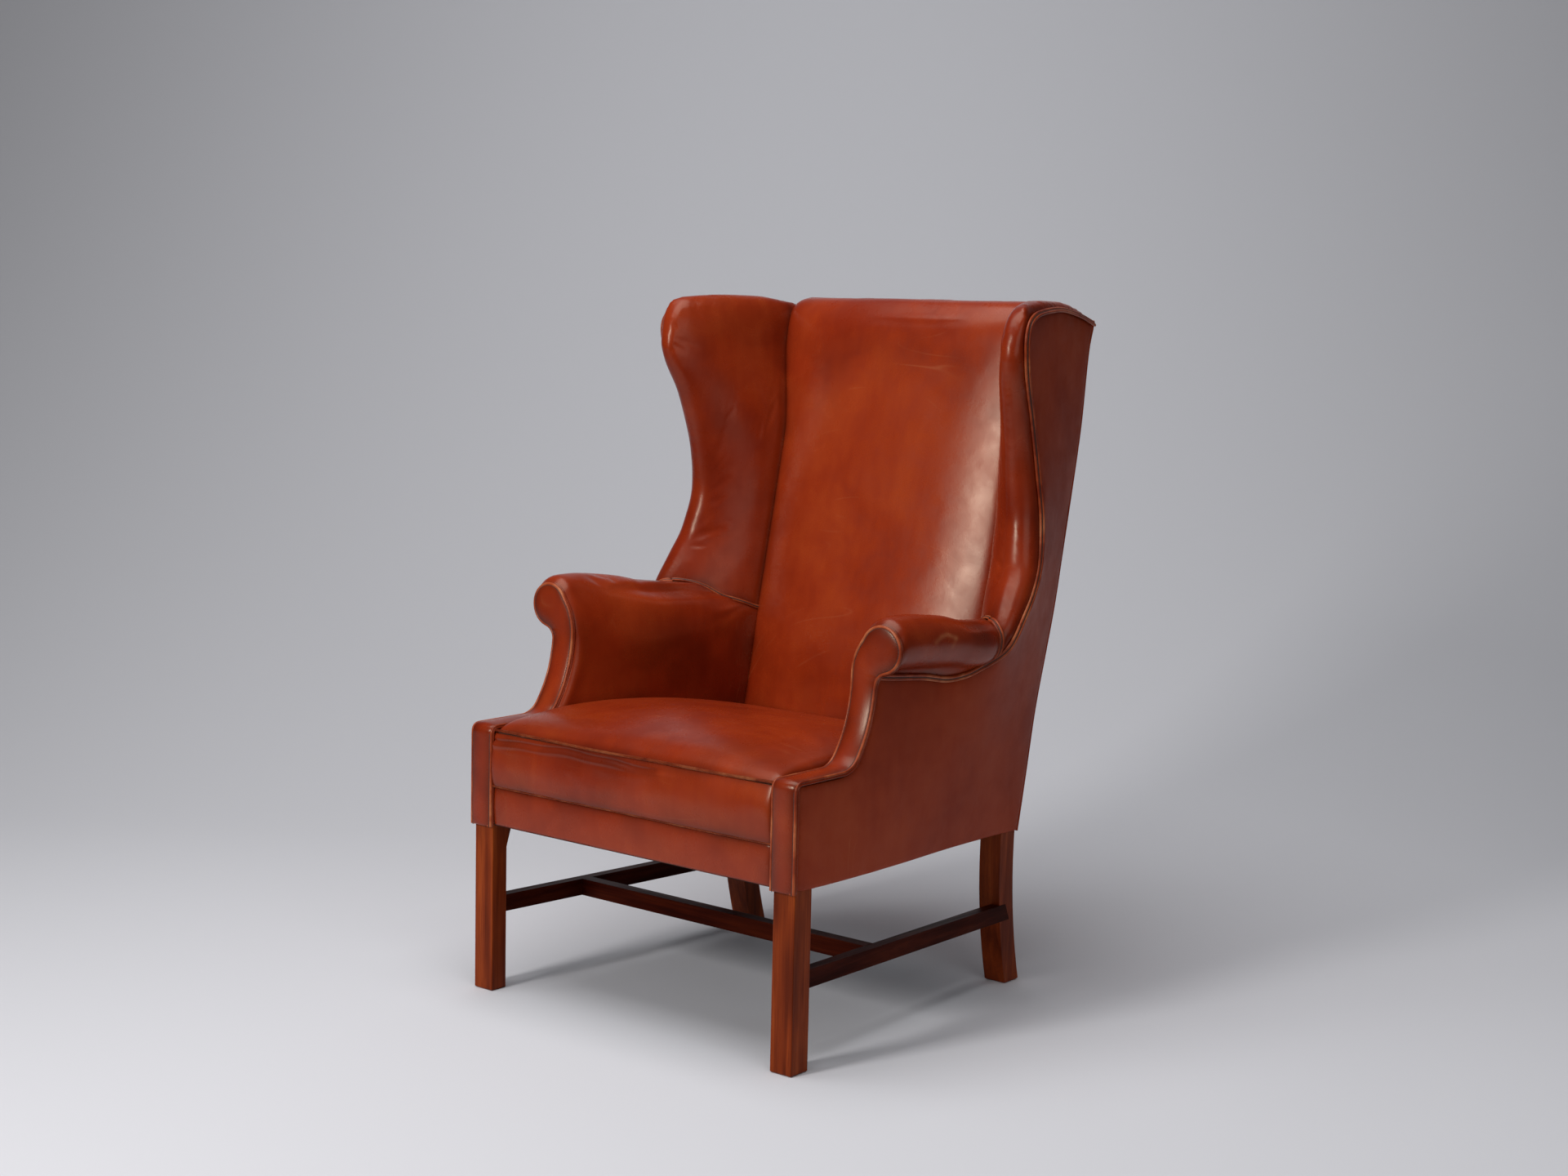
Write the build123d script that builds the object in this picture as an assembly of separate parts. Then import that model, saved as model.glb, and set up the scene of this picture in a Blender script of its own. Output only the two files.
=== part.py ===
from build123d import *
import math
import os

# A wing armchair: fixed leather upholstery over a beech frame, on mahogany legs with an H stretcher.
# Millimetres, +Z up. The sitter faces -Y, and the sitter's left is +X.
# While it is modelled, Y is zero at the front legs' front faces. The last step centres the footprint.

# Overall shape
front_leg_span = 666
rear_leg_span = 605
rear_foot_span = 594
back_top_span = 624
seat_box_depth = 624
box_bottom_height = 277
rail_fall = 15
box_top_height = 437
back_top_height = 1137
rake_depth = 170
rear_corner_drop = 37

# Legs and stretchers
leg_side = 40
leg_inner_chamfer = 9
chamfer_stop_drop = 16
chamfer_stop_length = 26
leg_arris = 1.5
foot_chamfer = 2.5
rear_foot_splay = 35
splay_start_height = 240
post_depth = 34
stretcher_height = 28
stretcher_width = 18
stretcher_bottom_height = 124
stretcher_fall = 13
stretcher_setback = 8
rear_stretcher_setback = 1.5
cross_stretcher_setback = 216
cross_stretcher_width = 22
tenon_shoulder = 5
tenon_length = 20
joint_clearance = 0.2

# Beech frame
rail_thickness = 28
rail_height = 60
rail_tenon_shoulder = 8
rail_tenon_length = 18
corner_block_leg = 60
corner_block_height = 40
corner_block_drop = 10
screw_diameter = 5
screw_head_diameter = 9
screw_head_height = 3
screw_length = 46
screw_offset = 14
stump_thickness = 28
stump_set_in = 9
stump_depth = 46
scroll_block_depth = 30
scroll_block_inset = 6
arm_board_width = 40
arm_board_height = 24
arm_board_fall = 40
wing_post_depth = 34
wing_post_thickness = 20
wing_post_setback = 14
wing_rail_height = 36
crest_rail_height = 56
post_top_drop = 48
lower_back_rail_height = 40
lower_back_rail_lift = 8

# Springs, webbing and filling
web_width = 50
web_thickness = 2
seat_web_columns = 5
seat_web_rows = 5
back_web_columns = 4
back_web_rows = 6
spring_columns = 3
spring_rows = 3
spring_end_diameter = 86
spring_waist_diameter = 62
spring_wall = 4
spring_pitch = 150
web_row_pitch = 112.5
spring_centre_depth = 305
hessian_thickness = 1.5
deck_drop = 32

# Leather and piping
skin = 3
soft_gap = 0.3
strip_width = 46
strip_thickness = 4
strip_side_proud = 0.5
lip_drop = 2.5
corner_radius = 9
ledge_length = 105
arm_setback = 179
neck_rise = 137
sweep_share = 0.6
rail_band_height = 65
seat_seam_drop = 7
seat_seam_setback = 5
seat_base_drop = 2
border_bulge = 9
band_thickness = 2.5
piping_diameter = 3.6
piping_pitch = 5.6
piping_gap = 0.05
seat_crown = 48
panel_split_drop = 31
scroll_radius = 37
scroll_centre_inset = 9
scroll_centre_rise = 41
seam_slope = 0.12
seam_rise_share = 0.02
arm_set_in = 1
scroll_join_angle = 160
scroll_top_angle = 105
scroll_side_angle = 50
arm_crown = 12
arm_fall = 76
slab_thickness = 30
wing_reach = 301
wing_flare = 68
wing_thickness = 62
wing_crown = 32
crease_half_width = 240
crease_spread = 34
crease_start_depth = 571
back_crown = 26
nose_share = 0.92
crease_share = 0.57
top_crown_fade_share = 0.5
seat_shoulder_share = 0.82
seat_edge_share = 0.55
seat_brow_share = 0.93
seat_bend_share = 0.7
seat_bend_rise_share = 0.68
under_cover_thickness = 1.5
tack_head_diameter = 9
tack_head_height = 1.5
tacks_per_side = 9
overrun = 30

# Shapes as shares of the sizes above
# Rear edge: share of the height from box bottom to rear corner, share of the rake
rear_edge_shares = [(0, 0), (0.11, 0.11), (0.23, 0.22), (0.35, 0.38), (0.46, 0.52), (0.63, 0.69),
                    (0.8, 0.85), (0.95, 0.93), (1, 1)]
# Wing by height: share of the height above the split, reach, flare and thickness shares
wing_shares = [(0, 0.945, 0.22, 0.66), (0.05, 0.78, 0.55, 0.72), (0.1, 0.733, 0.83, 0.78),
               (0.18, 0.665, 1.06, 0.93), (0.3, 0.575, 0.98, 1), (0.43, 0.57, 0.81, 1),
               (0.57, 0.665, 0.75, 0.92), (0.7, 0.8, 0.81, 0.83), (0.82, 0.94, 0.94, 0.74),
               (0.9, 1, 1, 0.66), (0.945, 0.975, 1, 0.6)]
# Wing top: shares of the crown's height, of the reach drawn in at front and rear, of the thickness drawn in
wing_top_shares = [(0.4, 0.025, 0.16, 0.03), (0.75, 0.07, 0.33, 0.2), (1, 0.24, 0.55, 0.4)]
# Outer panel's top edge: share of the wing's reach from the rear, share of the height above the split
panel_top_shares = [(1.03, 0.897), (0.977, 0.948), (0.827, 0.966), (0.512, 0.976), (0.196, 0.958), (0, 0.938)]
# Back: share of the height above the split, share of the crown
back_shares = [(-0.24, 1), (-0.15, 1.1), (-0.05, 1.3), (0.05, 1.35), (0.18, 1.2), (0.3, 1), (0.43, 0.92),
               (0.57, 0.9), (0.7, 0.85), (0.82, 0.8), (0.9, 0.7), (0.945, 0.65)]
# Back top: shares of the crown's height, of the depth drawn in at front and rear, of the half width drawn in
back_top_shares = [(0.4, 0.1, 0.16, 0), (0.75, 0.26, 0.36, 0.01), (1, 0.46, 0.5, 0.035)]
# Seat: share of the depth, share of the crown
seat_shares = [(0, 0.04), (0.02, 0.3), (0.06, 0.56), (0.14, 0.8), (0.28, 0.97), (0.42, 1), (0.58, 0.86),
               (0.76, 0.56), (1, 0.2)]
# Arm roll: share of the length, top height share of the fall, crown share, radius share, overhang share
roll_shares = [(0, 0, 0, 1, 1), (0.08, 0.01, 0.9, 1.1, 1.02), (0.17, 0.03, 1, 1.1, 1.04),
               (0.3, 0.1, 1, 1.07, 1.06), (0.47, 0.27, 0.85, 1.03, 1.08), (0.64, 0.45, 0.8, 0.97, 1.1),
               (0.82, 0.68, 0.6, 0.92, 1.1), (1, 1, 0.4, 0.85, 1.1)]

# Values worked out from the sizes above
leg_outer = front_leg_span / 2
box_outer = leg_outer + skin
seam_height = box_bottom_height + rail_band_height
seat_seam_height = box_top_height - seat_seam_drop
seat_deck_height = seat_seam_height - deck_drop
neck_height = box_top_height + neck_rise
panel_split_height = neck_height - panel_split_drop
rear_bottom_height = box_bottom_height - rail_fall
rear_corner_height = back_top_height - rear_corner_drop
leg_top_height = box_top_height - strip_thickness
strip_inner = box_outer + strip_side_proud - strip_width
strip_outer = box_outer + strip_side_proud
rear_leg_back = seat_box_depth - skin
rear_leg_front = rear_leg_back - leg_side
wing_height = back_top_height - panel_split_height
post_top_height = back_top_height - post_top_drop


# Straight-line value from a table of pairs
def table_value(table, place):
    for (low, low_value), (high, high_value) in zip(table, table[1:]):
        if place <= high:
            return low_value + (high_value - low_value) * (place - low) / (high - low)
    return table[-1][1]


def between(low, high, share):
    return low + (high - low) * share


# Depth of the leather's rear edge at a height
def rear_y(z):
    share = (z - rear_bottom_height) / (rear_corner_height - rear_bottom_height)
    return seat_box_depth + rake_depth * table_value(rear_edge_shares, min(max(share, 0), 1))


# Outer face of the leather at the rear edge
def rear_x(z):
    share = (z - rear_bottom_height) / (rear_corner_height - rear_bottom_height)
    return between(rear_leg_span / 2 + skin, back_top_span / 2, min(max(share, 0), 1))


# Height drop of the seat box towards the rear
def box_fall(y):
    return rail_fall * y / seat_box_depth


# Front face of the back posts
def post_front(z):
    return rear_y(z) - skin - post_depth


# Inner face of the arm and seam under the arm roll, by depth
def arm_inner(y):
    arm_length = crease_start_depth + overrun - arm_setback
    share = min(max((y - arm_setback) / arm_length, 0), 1)
    return between(strip_inner + arm_set_in, crease_half_width, share)


def roll_seam(y):
    return neck_height - seam_slope * (y - arm_setback)


def seam_depth(z):
    return arm_setback + (neck_height - z) / seam_slope


# Outer face of the side leather: along the rail at the bottom, from the arm's scroll at the neck
def side_skin_x(y, z):
    share = min(max((z - box_bottom_height) / (neck_height - box_bottom_height), 0), 1)
    scroll_back = arm_setback + strip_thickness
    low_share = (y - leg_side) / (post_front(z) - leg_side)
    high_share = (y - scroll_back) / (rear_y(z) - scroll_back)
    low_line = between(box_outer, rear_x(z), min(max(low_share, 0), 1))
    high_line = between(box_outer, rear_x(z), min(max(high_share, 0), 1))
    return between(low_line, high_line, share)


# Crease between the inside back and the sides, by height
def crease_y(z):
    slope = rake_depth / (rear_corner_height - rear_bottom_height)
    return crease_start_depth + (z - box_top_height) * slope


def crease_x(z):
    start = between(panel_split_height, back_top_height, crease_share)
    share = min(max((z - start) / (rear_corner_height - start), 0), 1)
    return crease_half_width + crease_spread * share


# A closed wire of straight steps, and of arcs given as a middle point and an end point
def closed(start, *steps):
    edges = []
    here = start
    for step in steps:
        if isinstance(step[0], tuple):
            edges.append(ThreePointArc(here, step[0], step[1]).edge())
            here = step[1]
        elif step != here:
            edges.append(Line(here, step).edge())
            here = step
    if here != start:
        edges.append(Line(here, start).edge())
    return Wire(edges)


# A side outline of (y, z) places, carried along X
def side_prism(start, *steps, low, high):
    def place(point):
        if isinstance(point[0], tuple):
            return tuple(place(part) for part in point)
        return (low, point[0], point[1])

    wire = closed(place(start), *[place(step) for step in steps])
    return Solid.extrude(Face(wire), Vector(high - low, 0, 0))


# A plan outline of (x, y) places, carried along Z
def plan_prism(*points, low, high):
    wire = closed(*[(x, y, low) for x, y in points])
    return Solid.extrude(Face(wire), Vector(0, 0, high - low))


# A front outline of (x, z) places, carried along Y
def front_prism(start, *steps, low, high):
    def place(point):
        if isinstance(point[0], tuple):
            return tuple(place(part) for part in point)
        return (point[0], low, point[1])

    wire = closed(place(start), *[place(step) for step in steps])
    return Solid.extrude(Face(wire), Vector(0, high - low, 0))


def block(x0, x1, y0, y1, z0, z1):
    return Pos(x0, y0, z0) * Solid.make_box(x1 - x0, y1 - y0, z1 - z0)


def mirrored(shape):
    return shape.mirror(Plane.YZ)


# The largest solid, or all of them as one group
def solid_of(shape):
    return max(shape.solids(), key=lambda part: part.volume)


nodes = {}


def keep(name, shape):
    nodes[name] = shape


def keep_pair(name, shape):
    nodes[name + "_left"] = shape
    nodes[name + "_right"] = mirrored(shape)


# Outer face of the side stretchers, by depth
def stretcher_outer(y):
    front_outer = leg_outer - stretcher_setback
    rear_outer = rear_leg_span / 2 - rear_stretcher_setback
    return between(front_outer, rear_outer, (y - leg_side) / (rear_leg_front - leg_side))


# Underside of the stretchers, by depth
def stretcher_bottom(y):
    return stretcher_bottom_height - stretcher_fall * y / seat_box_depth


# Mahogany: a side stretcher or its tenons, drawn in by a shoulder and lengthened at both ends
def side_stretcher(inset, front, rear):
    profile = side_prism(
        (front, stretcher_bottom(front) + inset), (rear, stretcher_bottom(rear) + inset),
        (rear, stretcher_bottom(rear) + stretcher_height - inset),
        (front, stretcher_bottom(front) + stretcher_height - inset), low=0, high=box_outer)
    plan = plan_prism(
        (stretcher_outer(front) - inset, front), (stretcher_outer(rear) - inset, rear),
        (stretcher_outer(rear) - stretcher_width + inset, rear),
        (stretcher_outer(front) - stretcher_width + inset, front), low=0, high=box_bottom_height)
    return profile & plan


def stretcher_tenon(grow):
    length = tenon_length + grow
    return side_stretcher(tenon_shoulder - grow, leg_side - length, rear_leg_front + length)


def cross_stretcher(inset, extra):
    y0 = cross_stretcher_setback
    z0 = stretcher_bottom(y0)
    half = stretcher_outer(y0) - stretcher_width + extra
    return block(-half, half, y0 + inset, y0 + cross_stretcher_width - inset,
                 z0 + inset, z0 + stretcher_height - inset)


def rail_outer(y):
    return between(leg_outer, rear_leg_span / 2, (y - leg_side) / (rear_leg_front - leg_side))


# Beech: a side seat rail, sloping with the box, or its tenons
def side_rail(inset, extra):
    front = leg_side - extra
    rear = rear_leg_front + extra
    z0 = box_bottom_height + skin + inset
    z1 = box_bottom_height + skin + rail_height - inset
    profile = side_prism(
        (front, z0 - box_fall(front)), (rear, z0 - box_fall(rear)),
        (rear, z1 - box_fall(rear)), (front, z1 - box_fall(front)), low=0, high=box_outer)
    front_outer = rail_outer(front) - inset
    rear_outer = rail_outer(rear) - inset
    width = rail_thickness - 2 * inset
    plan = plan_prism((front_outer, front), (rear_outer, rear), (rear_outer - width, rear),
                      (front_outer - width, front), low=0, high=box_top_height)
    return profile & plan


# A front or rear seat rail between its legs, or its tenons
def cross_rail(inset, extra, half, y0, fall):
    z0 = box_bottom_height + skin - fall + inset
    return block(-half - extra, half + extra, y0 + inset, y0 + rail_thickness - inset,
                 z0, z0 + rail_height - 2 * inset)


def front_rail(inset, extra):
    return cross_rail(inset, extra, leg_outer - leg_side, 0, 0)


def rear_rail(inset, extra):
    half = rear_leg_span / 2 - leg_side
    y0 = rear_leg_back - rail_thickness
    return cross_rail(inset, extra, half, y0, box_fall(y0))


def rail_tenon(grow):
    return side_rail(rail_tenon_shoulder - grow, rail_tenon_length + grow)


def make_front_leg():
    inner = leg_outer - leg_side
    leg = block(inner, leg_outer, 0, leg_side, 0, leg_top_height)
    leg = leg.chamfer(foot_chamfer, None, leg.edges().group_by(Axis.Z)[0])
    top_front = leg.edges().filter_by(Axis.X).group_by(Axis.Z)[-1].sort_by(Axis.Y)[0]
    leg = leg.fillet(corner_radius - strip_thickness, [top_front])
    arrises = [edge for edge in leg.edges().filter_by(Axis.Z)
               if edge.center().X > inner + leg_arris or edge.center().Y < leg_side / 2]
    leg = leg.fillet(leg_arris, arrises)
    # The inner rear arris is chamfered, and the chamfer dies out below the seat box
    stop = box_bottom_height - chamfer_stop_drop
    run = stop - chamfer_stop_length

    def corner(z, size):
        return closed((inner - size, leg_side + size, z), (inner + size, leg_side + size, z),
                      (inner + size, leg_side, z), (inner, leg_side - size, z),
                      (inner - size, leg_side - size, z))

    leg = leg - Solid.make_loft([corner(-overrun, leg_inner_chamfer), corner(run, leg_inner_chamfer)], True)
    leg = leg - Solid.make_loft([corner(run, leg_inner_chamfer), corner(stop, leg_arris / 2)], True)
    leg = leg - stretcher_tenon(joint_clearance) - rail_tenon(joint_clearance)
    leg = leg - front_rail(rail_tenon_shoulder - joint_clearance, rail_tenon_length + joint_clearance)
    return solid_of(leg)


# Inner face of the back posts
def post_inner(z):
    seat = rear_leg_span / 2 - leg_side
    top = rear_x(post_top_height) - skin - post_depth
    return between(seat, top, (z - rear_bottom_height) / (post_top_height - rear_bottom_height))


# A rear leg runs on above the seat as the back post
def rear_leg_blank():
    arc_radius = (splay_start_height ** 2 + rear_foot_splay ** 2) / (2 * rear_foot_splay)
    middle = splay_start_height / 2
    bow = arc_radius - math.sqrt(arc_radius ** 2 - (splay_start_height - middle) ** 2)
    heights = [between(rear_bottom_height, rear_corner_height, share) for share, _ in rear_edge_shares]
    neck = box_bottom_height + rail_height
    heights = [z for z in heights if neck < z < post_top_height] + [post_top_height]
    rear_points = [(rear_y(z) - skin, z) for z in [rear_bottom_height] + heights]
    front_points = [(post_front(z), z) for z in reversed(heights)]
    profile = side_prism(
        (rear_leg_front + rear_foot_splay, 0), (rear_leg_back + rear_foot_splay, 0),
        ((rear_leg_back + bow, middle), (rear_leg_back, splay_start_height)), *rear_points, *front_points,
        (rear_leg_front, neck), (rear_leg_front, splay_start_height),
        ((rear_leg_front + bow, middle), (rear_leg_front + rear_foot_splay, 0)), low=0, high=box_outer)
    foot = rear_foot_span / 2
    seat = rear_leg_span / 2
    top = rear_x(post_top_height) - skin
    sides = front_prism(
        (foot - leg_side, 0), (foot, 0), (seat, rear_bottom_height), (top, post_top_height),
        (post_inner(post_top_height), post_top_height), (post_inner(rear_bottom_height), rear_bottom_height),
        low=rear_leg_front - overrun, high=rear_y(rear_corner_height) + overrun)
    return solid_of(profile & sides)


def make_rear_leg():
    leg = rear_leg_blank()
    leg = leg.chamfer(foot_chamfer, None, leg.edges().group_by(Axis.Z)[0])
    leg = leg - stretcher_tenon(joint_clearance) - rail_tenon(joint_clearance)
    leg = leg - rear_rail(rail_tenon_shoulder - joint_clearance, rail_tenon_length + joint_clearance)
    return solid_of(leg)


def make_stretchers():
    body = side_stretcher(0, leg_side, rear_leg_back) - rear_leg_blank()
    body = min(body.solids(), key=lambda part: part.center().Y)
    side = solid_of(body + stretcher_tenon(0))
    cross = solid_of(cross_stretcher(0, 0) + cross_stretcher(tenon_shoulder, stretcher_width / 2))
    side = solid_of(side - cross - cross_stretcher(tenon_shoulder - joint_clearance, stretcher_width / 2))
    return side, cross


def make_rails():
    leg = rear_leg_blank()
    side = solid_of(side_rail(0, 0) + rail_tenon(0))
    front = solid_of(front_rail(0, 0) + front_rail(rail_tenon_shoulder, rail_tenon_length))
    rear_body = rear_rail(0, 0) - leg - mirrored(leg)
    rear = solid_of(solid_of(rear_body) + rear_rail(rail_tenon_shoulder, rail_tenon_length))
    return side, front, rear


# Triangular blocks glued and screwed across the inner corners of the seat frame
def block_top():
    return box_bottom_height + skin + rail_height - corner_block_drop


def corner_block(front):
    z1 = block_top() if front else block_top() - rail_fall
    z0 = z1 - corner_block_height
    reach = leg_side + corner_block_leg
    if front:
        outer, wall, step = leg_outer, rail_thickness, reach
    else:
        outer, wall, step = rear_leg_span / 2, rear_leg_back - rail_thickness, -reach
    body = plan_prism((outer - reach, wall), (outer, wall), (outer, wall + step), low=z0, high=z1)
    leg = block(leg_outer - leg_side, leg_outer, 0, leg_side, z0, z1) if front else rear_leg_blank()
    return solid_of(body - leg - side_rail(0, 0))


# Screws through a corner block into its leg, with their heads sunk in the long face
def block_screws(front, grow):
    half = leg_side / 2
    turn = 1 if front else -1
    leg_x = leg_outer - half if front else rear_leg_span / 2 - half
    leg_y = half if front else rear_leg_back - half
    away = (corner_block_leg + rail_thickness) / 2
    middle = block_top() - corner_block_height / 2 - (0 if front else rail_fall)
    screws = []
    for lift in (-screw_offset / 2, screw_offset / 2):
        face = Plane(origin=(leg_x - away, leg_y + turn * away, middle + lift), z_dir=(1, -turn, 0))
        shank = Solid.make_cylinder(screw_diameter / 2 + grow, screw_length + grow, face)
        head = Solid.make_cylinder(screw_head_diameter / 2 + grow, screw_head_height + grow, face)
        screws.append(solid_of(shank + head))
    return screws


# The front strip's path, stood off its face: up the post, back along the box top, up the arm
def strip_path(offset, top):
    front = -strip_thickness
    centre = (front + corner_radius, box_top_height - corner_radius)
    corner = corner_radius + offset
    half = math.sqrt(0.5)
    # Two tangent arcs turn the strip from level to upright between the ledge and the neck
    run = arm_setback - ledge_length
    rise = neck_height - box_top_height
    small = sweep_share * run
    large = (run ** 2 + (rise - small) ** 2 - small ** 2) / (2 * (run - small))
    turn = math.acos((rise - small) / (large - small))
    small_centre = (ledge_length, box_top_height + small)
    large_centre = (arm_setback - large, neck_height)

    def swing(middle, radius, angle):
        return (middle[0] + radius * math.sin(angle), middle[1] - radius * math.cos(angle))

    quarter = math.pi / 2
    return [
        (front - offset, box_bottom_height - lip_drop), (front - offset, centre[1]),
        ((centre[0] - corner * half, centre[1] + corner * half), (centre[0], centre[1] + corner)),
        (ledge_length, box_top_height + offset),
        (swing(small_centre, small - offset, turn / 2), swing(small_centre, small - offset, turn)),
        (swing(large_centre, large - offset, (turn + quarter) / 2),
         swing(large_centre, large - offset, quarter)),
        (arm_setback - offset, top)]


# Everything behind the strip's path
def behind_strip(offset, top, low, high):
    path = strip_path(offset, top)
    far = seat_box_depth + rake_depth + overrun
    return side_prism(*path, (far, top), (far, path[0][1]), low=low, high=high)


# The arm roll's section as (x, z) steps: inner face, over the roll, round to the neck, outer face
def roll_outline(inner, outer, base, neck, centre, radius):
    def rim(degrees):
        return (centre[0] + radius * math.cos(math.radians(degrees)),
                centre[1] + radius * math.sin(math.radians(degrees)))

    join = rim(scroll_join_angle)
    across = join[0] - inner
    up = join[1] - neck
    bend = (across ** 2 + up ** 2) / (2 * across)
    half_angle = math.asin(up / bend) / 2
    bend_mid = (inner + bend - bend * math.cos(half_angle), neck + bend * math.sin(half_angle))
    aside = centre[0] - outer
    above = centre[1] - neck
    nook = (aside ** 2 + above ** 2 - radius ** 2) / (2 * (radius + aside))
    nook_centre = (outer + nook, neck)
    contact_angle = math.degrees(math.atan2(nook_centre[1] - centre[1], nook_centre[0] - centre[0]))
    nook_angle = math.radians(contact_angle / 2 + 180)
    nook_mid = (nook_centre[0] + nook * math.cos(nook_angle), nook_centre[1] + nook * math.sin(nook_angle))
    side = rim((scroll_side_angle + contact_angle) / 2)
    return [(inner, base), (inner, neck), (bend_mid, join), (rim(scroll_top_angle), rim(scroll_side_angle)),
            (side, rim(contact_angle)), (nook_mid, (outer, neck)), (outer, base)]


def scroll_outline(grow):
    centre = (box_outer + scroll_centre_inset, neck_height + scroll_centre_rise)
    return roll_outline(strip_inner - grow, strip_outer + grow, neck_height - skin, neck_height, centre,
                        scroll_radius + grow)


def make_strip():
    top = neck_height + soft_gap
    strip = (behind_strip(0, top, strip_inner, strip_outer)
             - behind_strip(-strip_thickness, top + overrun, strip_inner - overrun, strip_outer + overrun))
    plate = front_prism(*scroll_outline(0), low=arm_setback, high=arm_setback + strip_thickness)
    return solid_of(solid_of(strip) + plate)


# The beech stump behind the strip, with the scroll block glued to its head
def make_stump(grow=0):
    outer = leg_outer - stump_set_in + grow
    inner = outer - stump_thickness - 2 * grow
    top = neck_height + strip_thickness + grow
    back = arm_setback + stump_depth + grow
    stump = behind_strip(-strip_thickness, top, inner, outer)
    rail_top = box_bottom_height + skin + rail_height
    limit = side_prism((leg_side, rail_top - box_fall(leg_side)), (leg_side, top), (back, top),
                       (back, rail_top - box_fall(back)), low=inner, high=outer)
    stump = solid_of(stump & limit)
    depth = scroll_block_depth + grow
    scroll_front = arm_setback + strip_thickness
    outline = scroll_outline(grow - scroll_block_inset)
    scroll = front_prism(*outline, low=scroll_front, high=scroll_front + depth)
    return solid_of(stump + scroll)


# The board under the arm roll falls from the scroll block to the back post
def board_top(y):
    start = arm_setback + strip_thickness + scroll_block_depth
    share = (y - start) / (crease_start_depth - start)
    return neck_height + scroll_centre_rise - arm_board_fall * share


def make_arm_board(grow=0):
    y0 = arm_setback + strip_thickness + scroll_block_depth
    y1 = rear_y(neck_height)
    height = arm_board_height + grow
    front_x = box_outer - stump_thickness / 2
    rear_outer = rear_x(neck_height) - skin - stump_set_in
    rear_inner = crease_half_width + crease_spread + soft_gap
    half = arm_board_width / 2 + grow
    plan = plan_prism((front_x - half, y0), (front_x + half, y0), (rear_outer + grow, y1),
                      (rear_inner - grow, y1), low=0, high=back_top_height)
    slope = side_prism((y0, board_top(y0) - height), (y1, board_top(y1) - height), (y1, board_top(y1) + grow),
                       (y0, board_top(y0) + grow), low=0, high=box_outer + overrun)
    return solid_of((plan & slope) - frame_space(0))


# Heights where the rear edge bends
def rake_levels():
    return [between(rear_bottom_height, rear_corner_height, share) for share, _ in rear_edge_shares]


# All the room behind a line stood forward of the posts, up to a little above their heads
def frame_space(forward=web_thickness + soft_gap):
    top = post_top_height + soft_gap
    levels = [z for z in rake_levels() if z < top] + [top]
    front = [(post_front(z) - forward, z) for z in levels]
    far = rear_y(top) + overrun
    half = box_outer + overrun
    return side_prism(*front, (far, top), (far, levels[0]), low=-half, high=half)


# All the room behind the inner face of the outside back's leather
def rear_space():
    levels = rake_levels()
    front = [(rear_y(z) - skin, z) for z in levels]
    far = rear_y(levels[-1]) + overrun
    return side_prism(*front, (far, back_top_height), (far, levels[0]), low=0, high=box_outer + wing_flare)


# Padded inside arm: a slab from the seat deck up to the level of the roll's seam
def make_inside_arm():
    z0 = seat_deck_height + hessian_thickness
    y_end = post_front(z0) - web_thickness - soft_gap
    y0 = ledge_length - slab_thickness
    turn = crease_start_depth + overrun
    inner = [(arm_inner(y), y) for y in (y0, arm_setback, turn, y_end)]
    outer = [(x + slab_thickness, y) for x, y in reversed(inner)]
    slab = plan_prism(*inner, *outer, low=z0, high=neck_height)
    under_seam = side_prism((y0, z0), (y0, roll_seam(y0) - soft_gap), (y_end, roll_seam(y_end) - soft_gap),
                            (y_end, z0), low=0, high=box_outer)
    slab = slab & under_seam & behind_strip(-strip_thickness - soft_gap, neck_height + overrun, 0, box_outer)
    return solid_of(solid_of(slab) - make_stump(soft_gap) - wing_solid(soft_gap, True))


def roll_section(y, share, fall, crown, radius_share, overhang):
    inner = arm_inner(y)
    top = neck_height + scroll_centre_rise + scroll_radius + arm_crown * crown - arm_fall * fall
    radius = scroll_radius * radius_share
    seam = roll_seam(y)
    outer = side_skin_x(y, seam) - skin - soft_gap
    centre = (box_outer + scroll_centre_inset * overhang, top - radius)
    steps = roll_outline(inner, outer, seam, between(seam, top, seam_rise_share), centre, radius)
    return steps


def make_arm_roll():
    start = arm_setback + strip_thickness + soft_gap
    length = crease_start_depth + overrun - start
    wires = []
    for share, fall, crown, radius_share, overhang in roll_shares:
        y = start + length * share
        steps = roll_section(y, share, fall, crown, radius_share, overhang)

        def place(point):
            if isinstance(point[0], tuple):
                return tuple(place(part) for part in point)
            return (point[0], y, point[1])

        wires.append(closed(*[place(step) for step in steps]))
    roll = Solid.make_loft(wires, True) - make_stump(soft_gap) - make_arm_board(soft_gap)
    roll = roll - wing_solid(soft_gap, True) - beside_wing() - beside_side()
    return solid_of(roll - make_wing_piping(soft_gap))


# The room beside the wing's outer panel, behind its seam, where the arm roll stops
def beside_wing():
    wires = []
    for height in [row[0] for row in wing_shares if row[0] < crease_share]:
        z = panel_split_height + wing_height * height
        from_seam, _ = wing_frame(height, z)
        near = skin + soft_gap
        far = -2 * scroll_radius
        front = piping_diameter / 2 + soft_gap
        wires.append(closed(*[(*from_seam(*corner), z) for corner in
                              ((front, near), (front, far), (-wing_reach, far), (-wing_reach, near))]))
    return Solid.make_loft(wires, True)


# The side leather in front of the wing, where it rises above the wing's foot to the arm roll's seam
def under_seam():
    top = panel_split_height + arm_fall
    sheet = side_sheet([panel_split_height - arm_fall, top], skin + soft_gap, wing_flare)
    end = seam_depth(panel_split_height)
    return sheet & side_prism((0, neck_height - arm_fall), (0, roll_seam(0) + soft_gap),
                              (end, panel_split_height + soft_gap), (end, neck_height - arm_fall),
                              low=0, high=box_outer + wing_flare)


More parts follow.
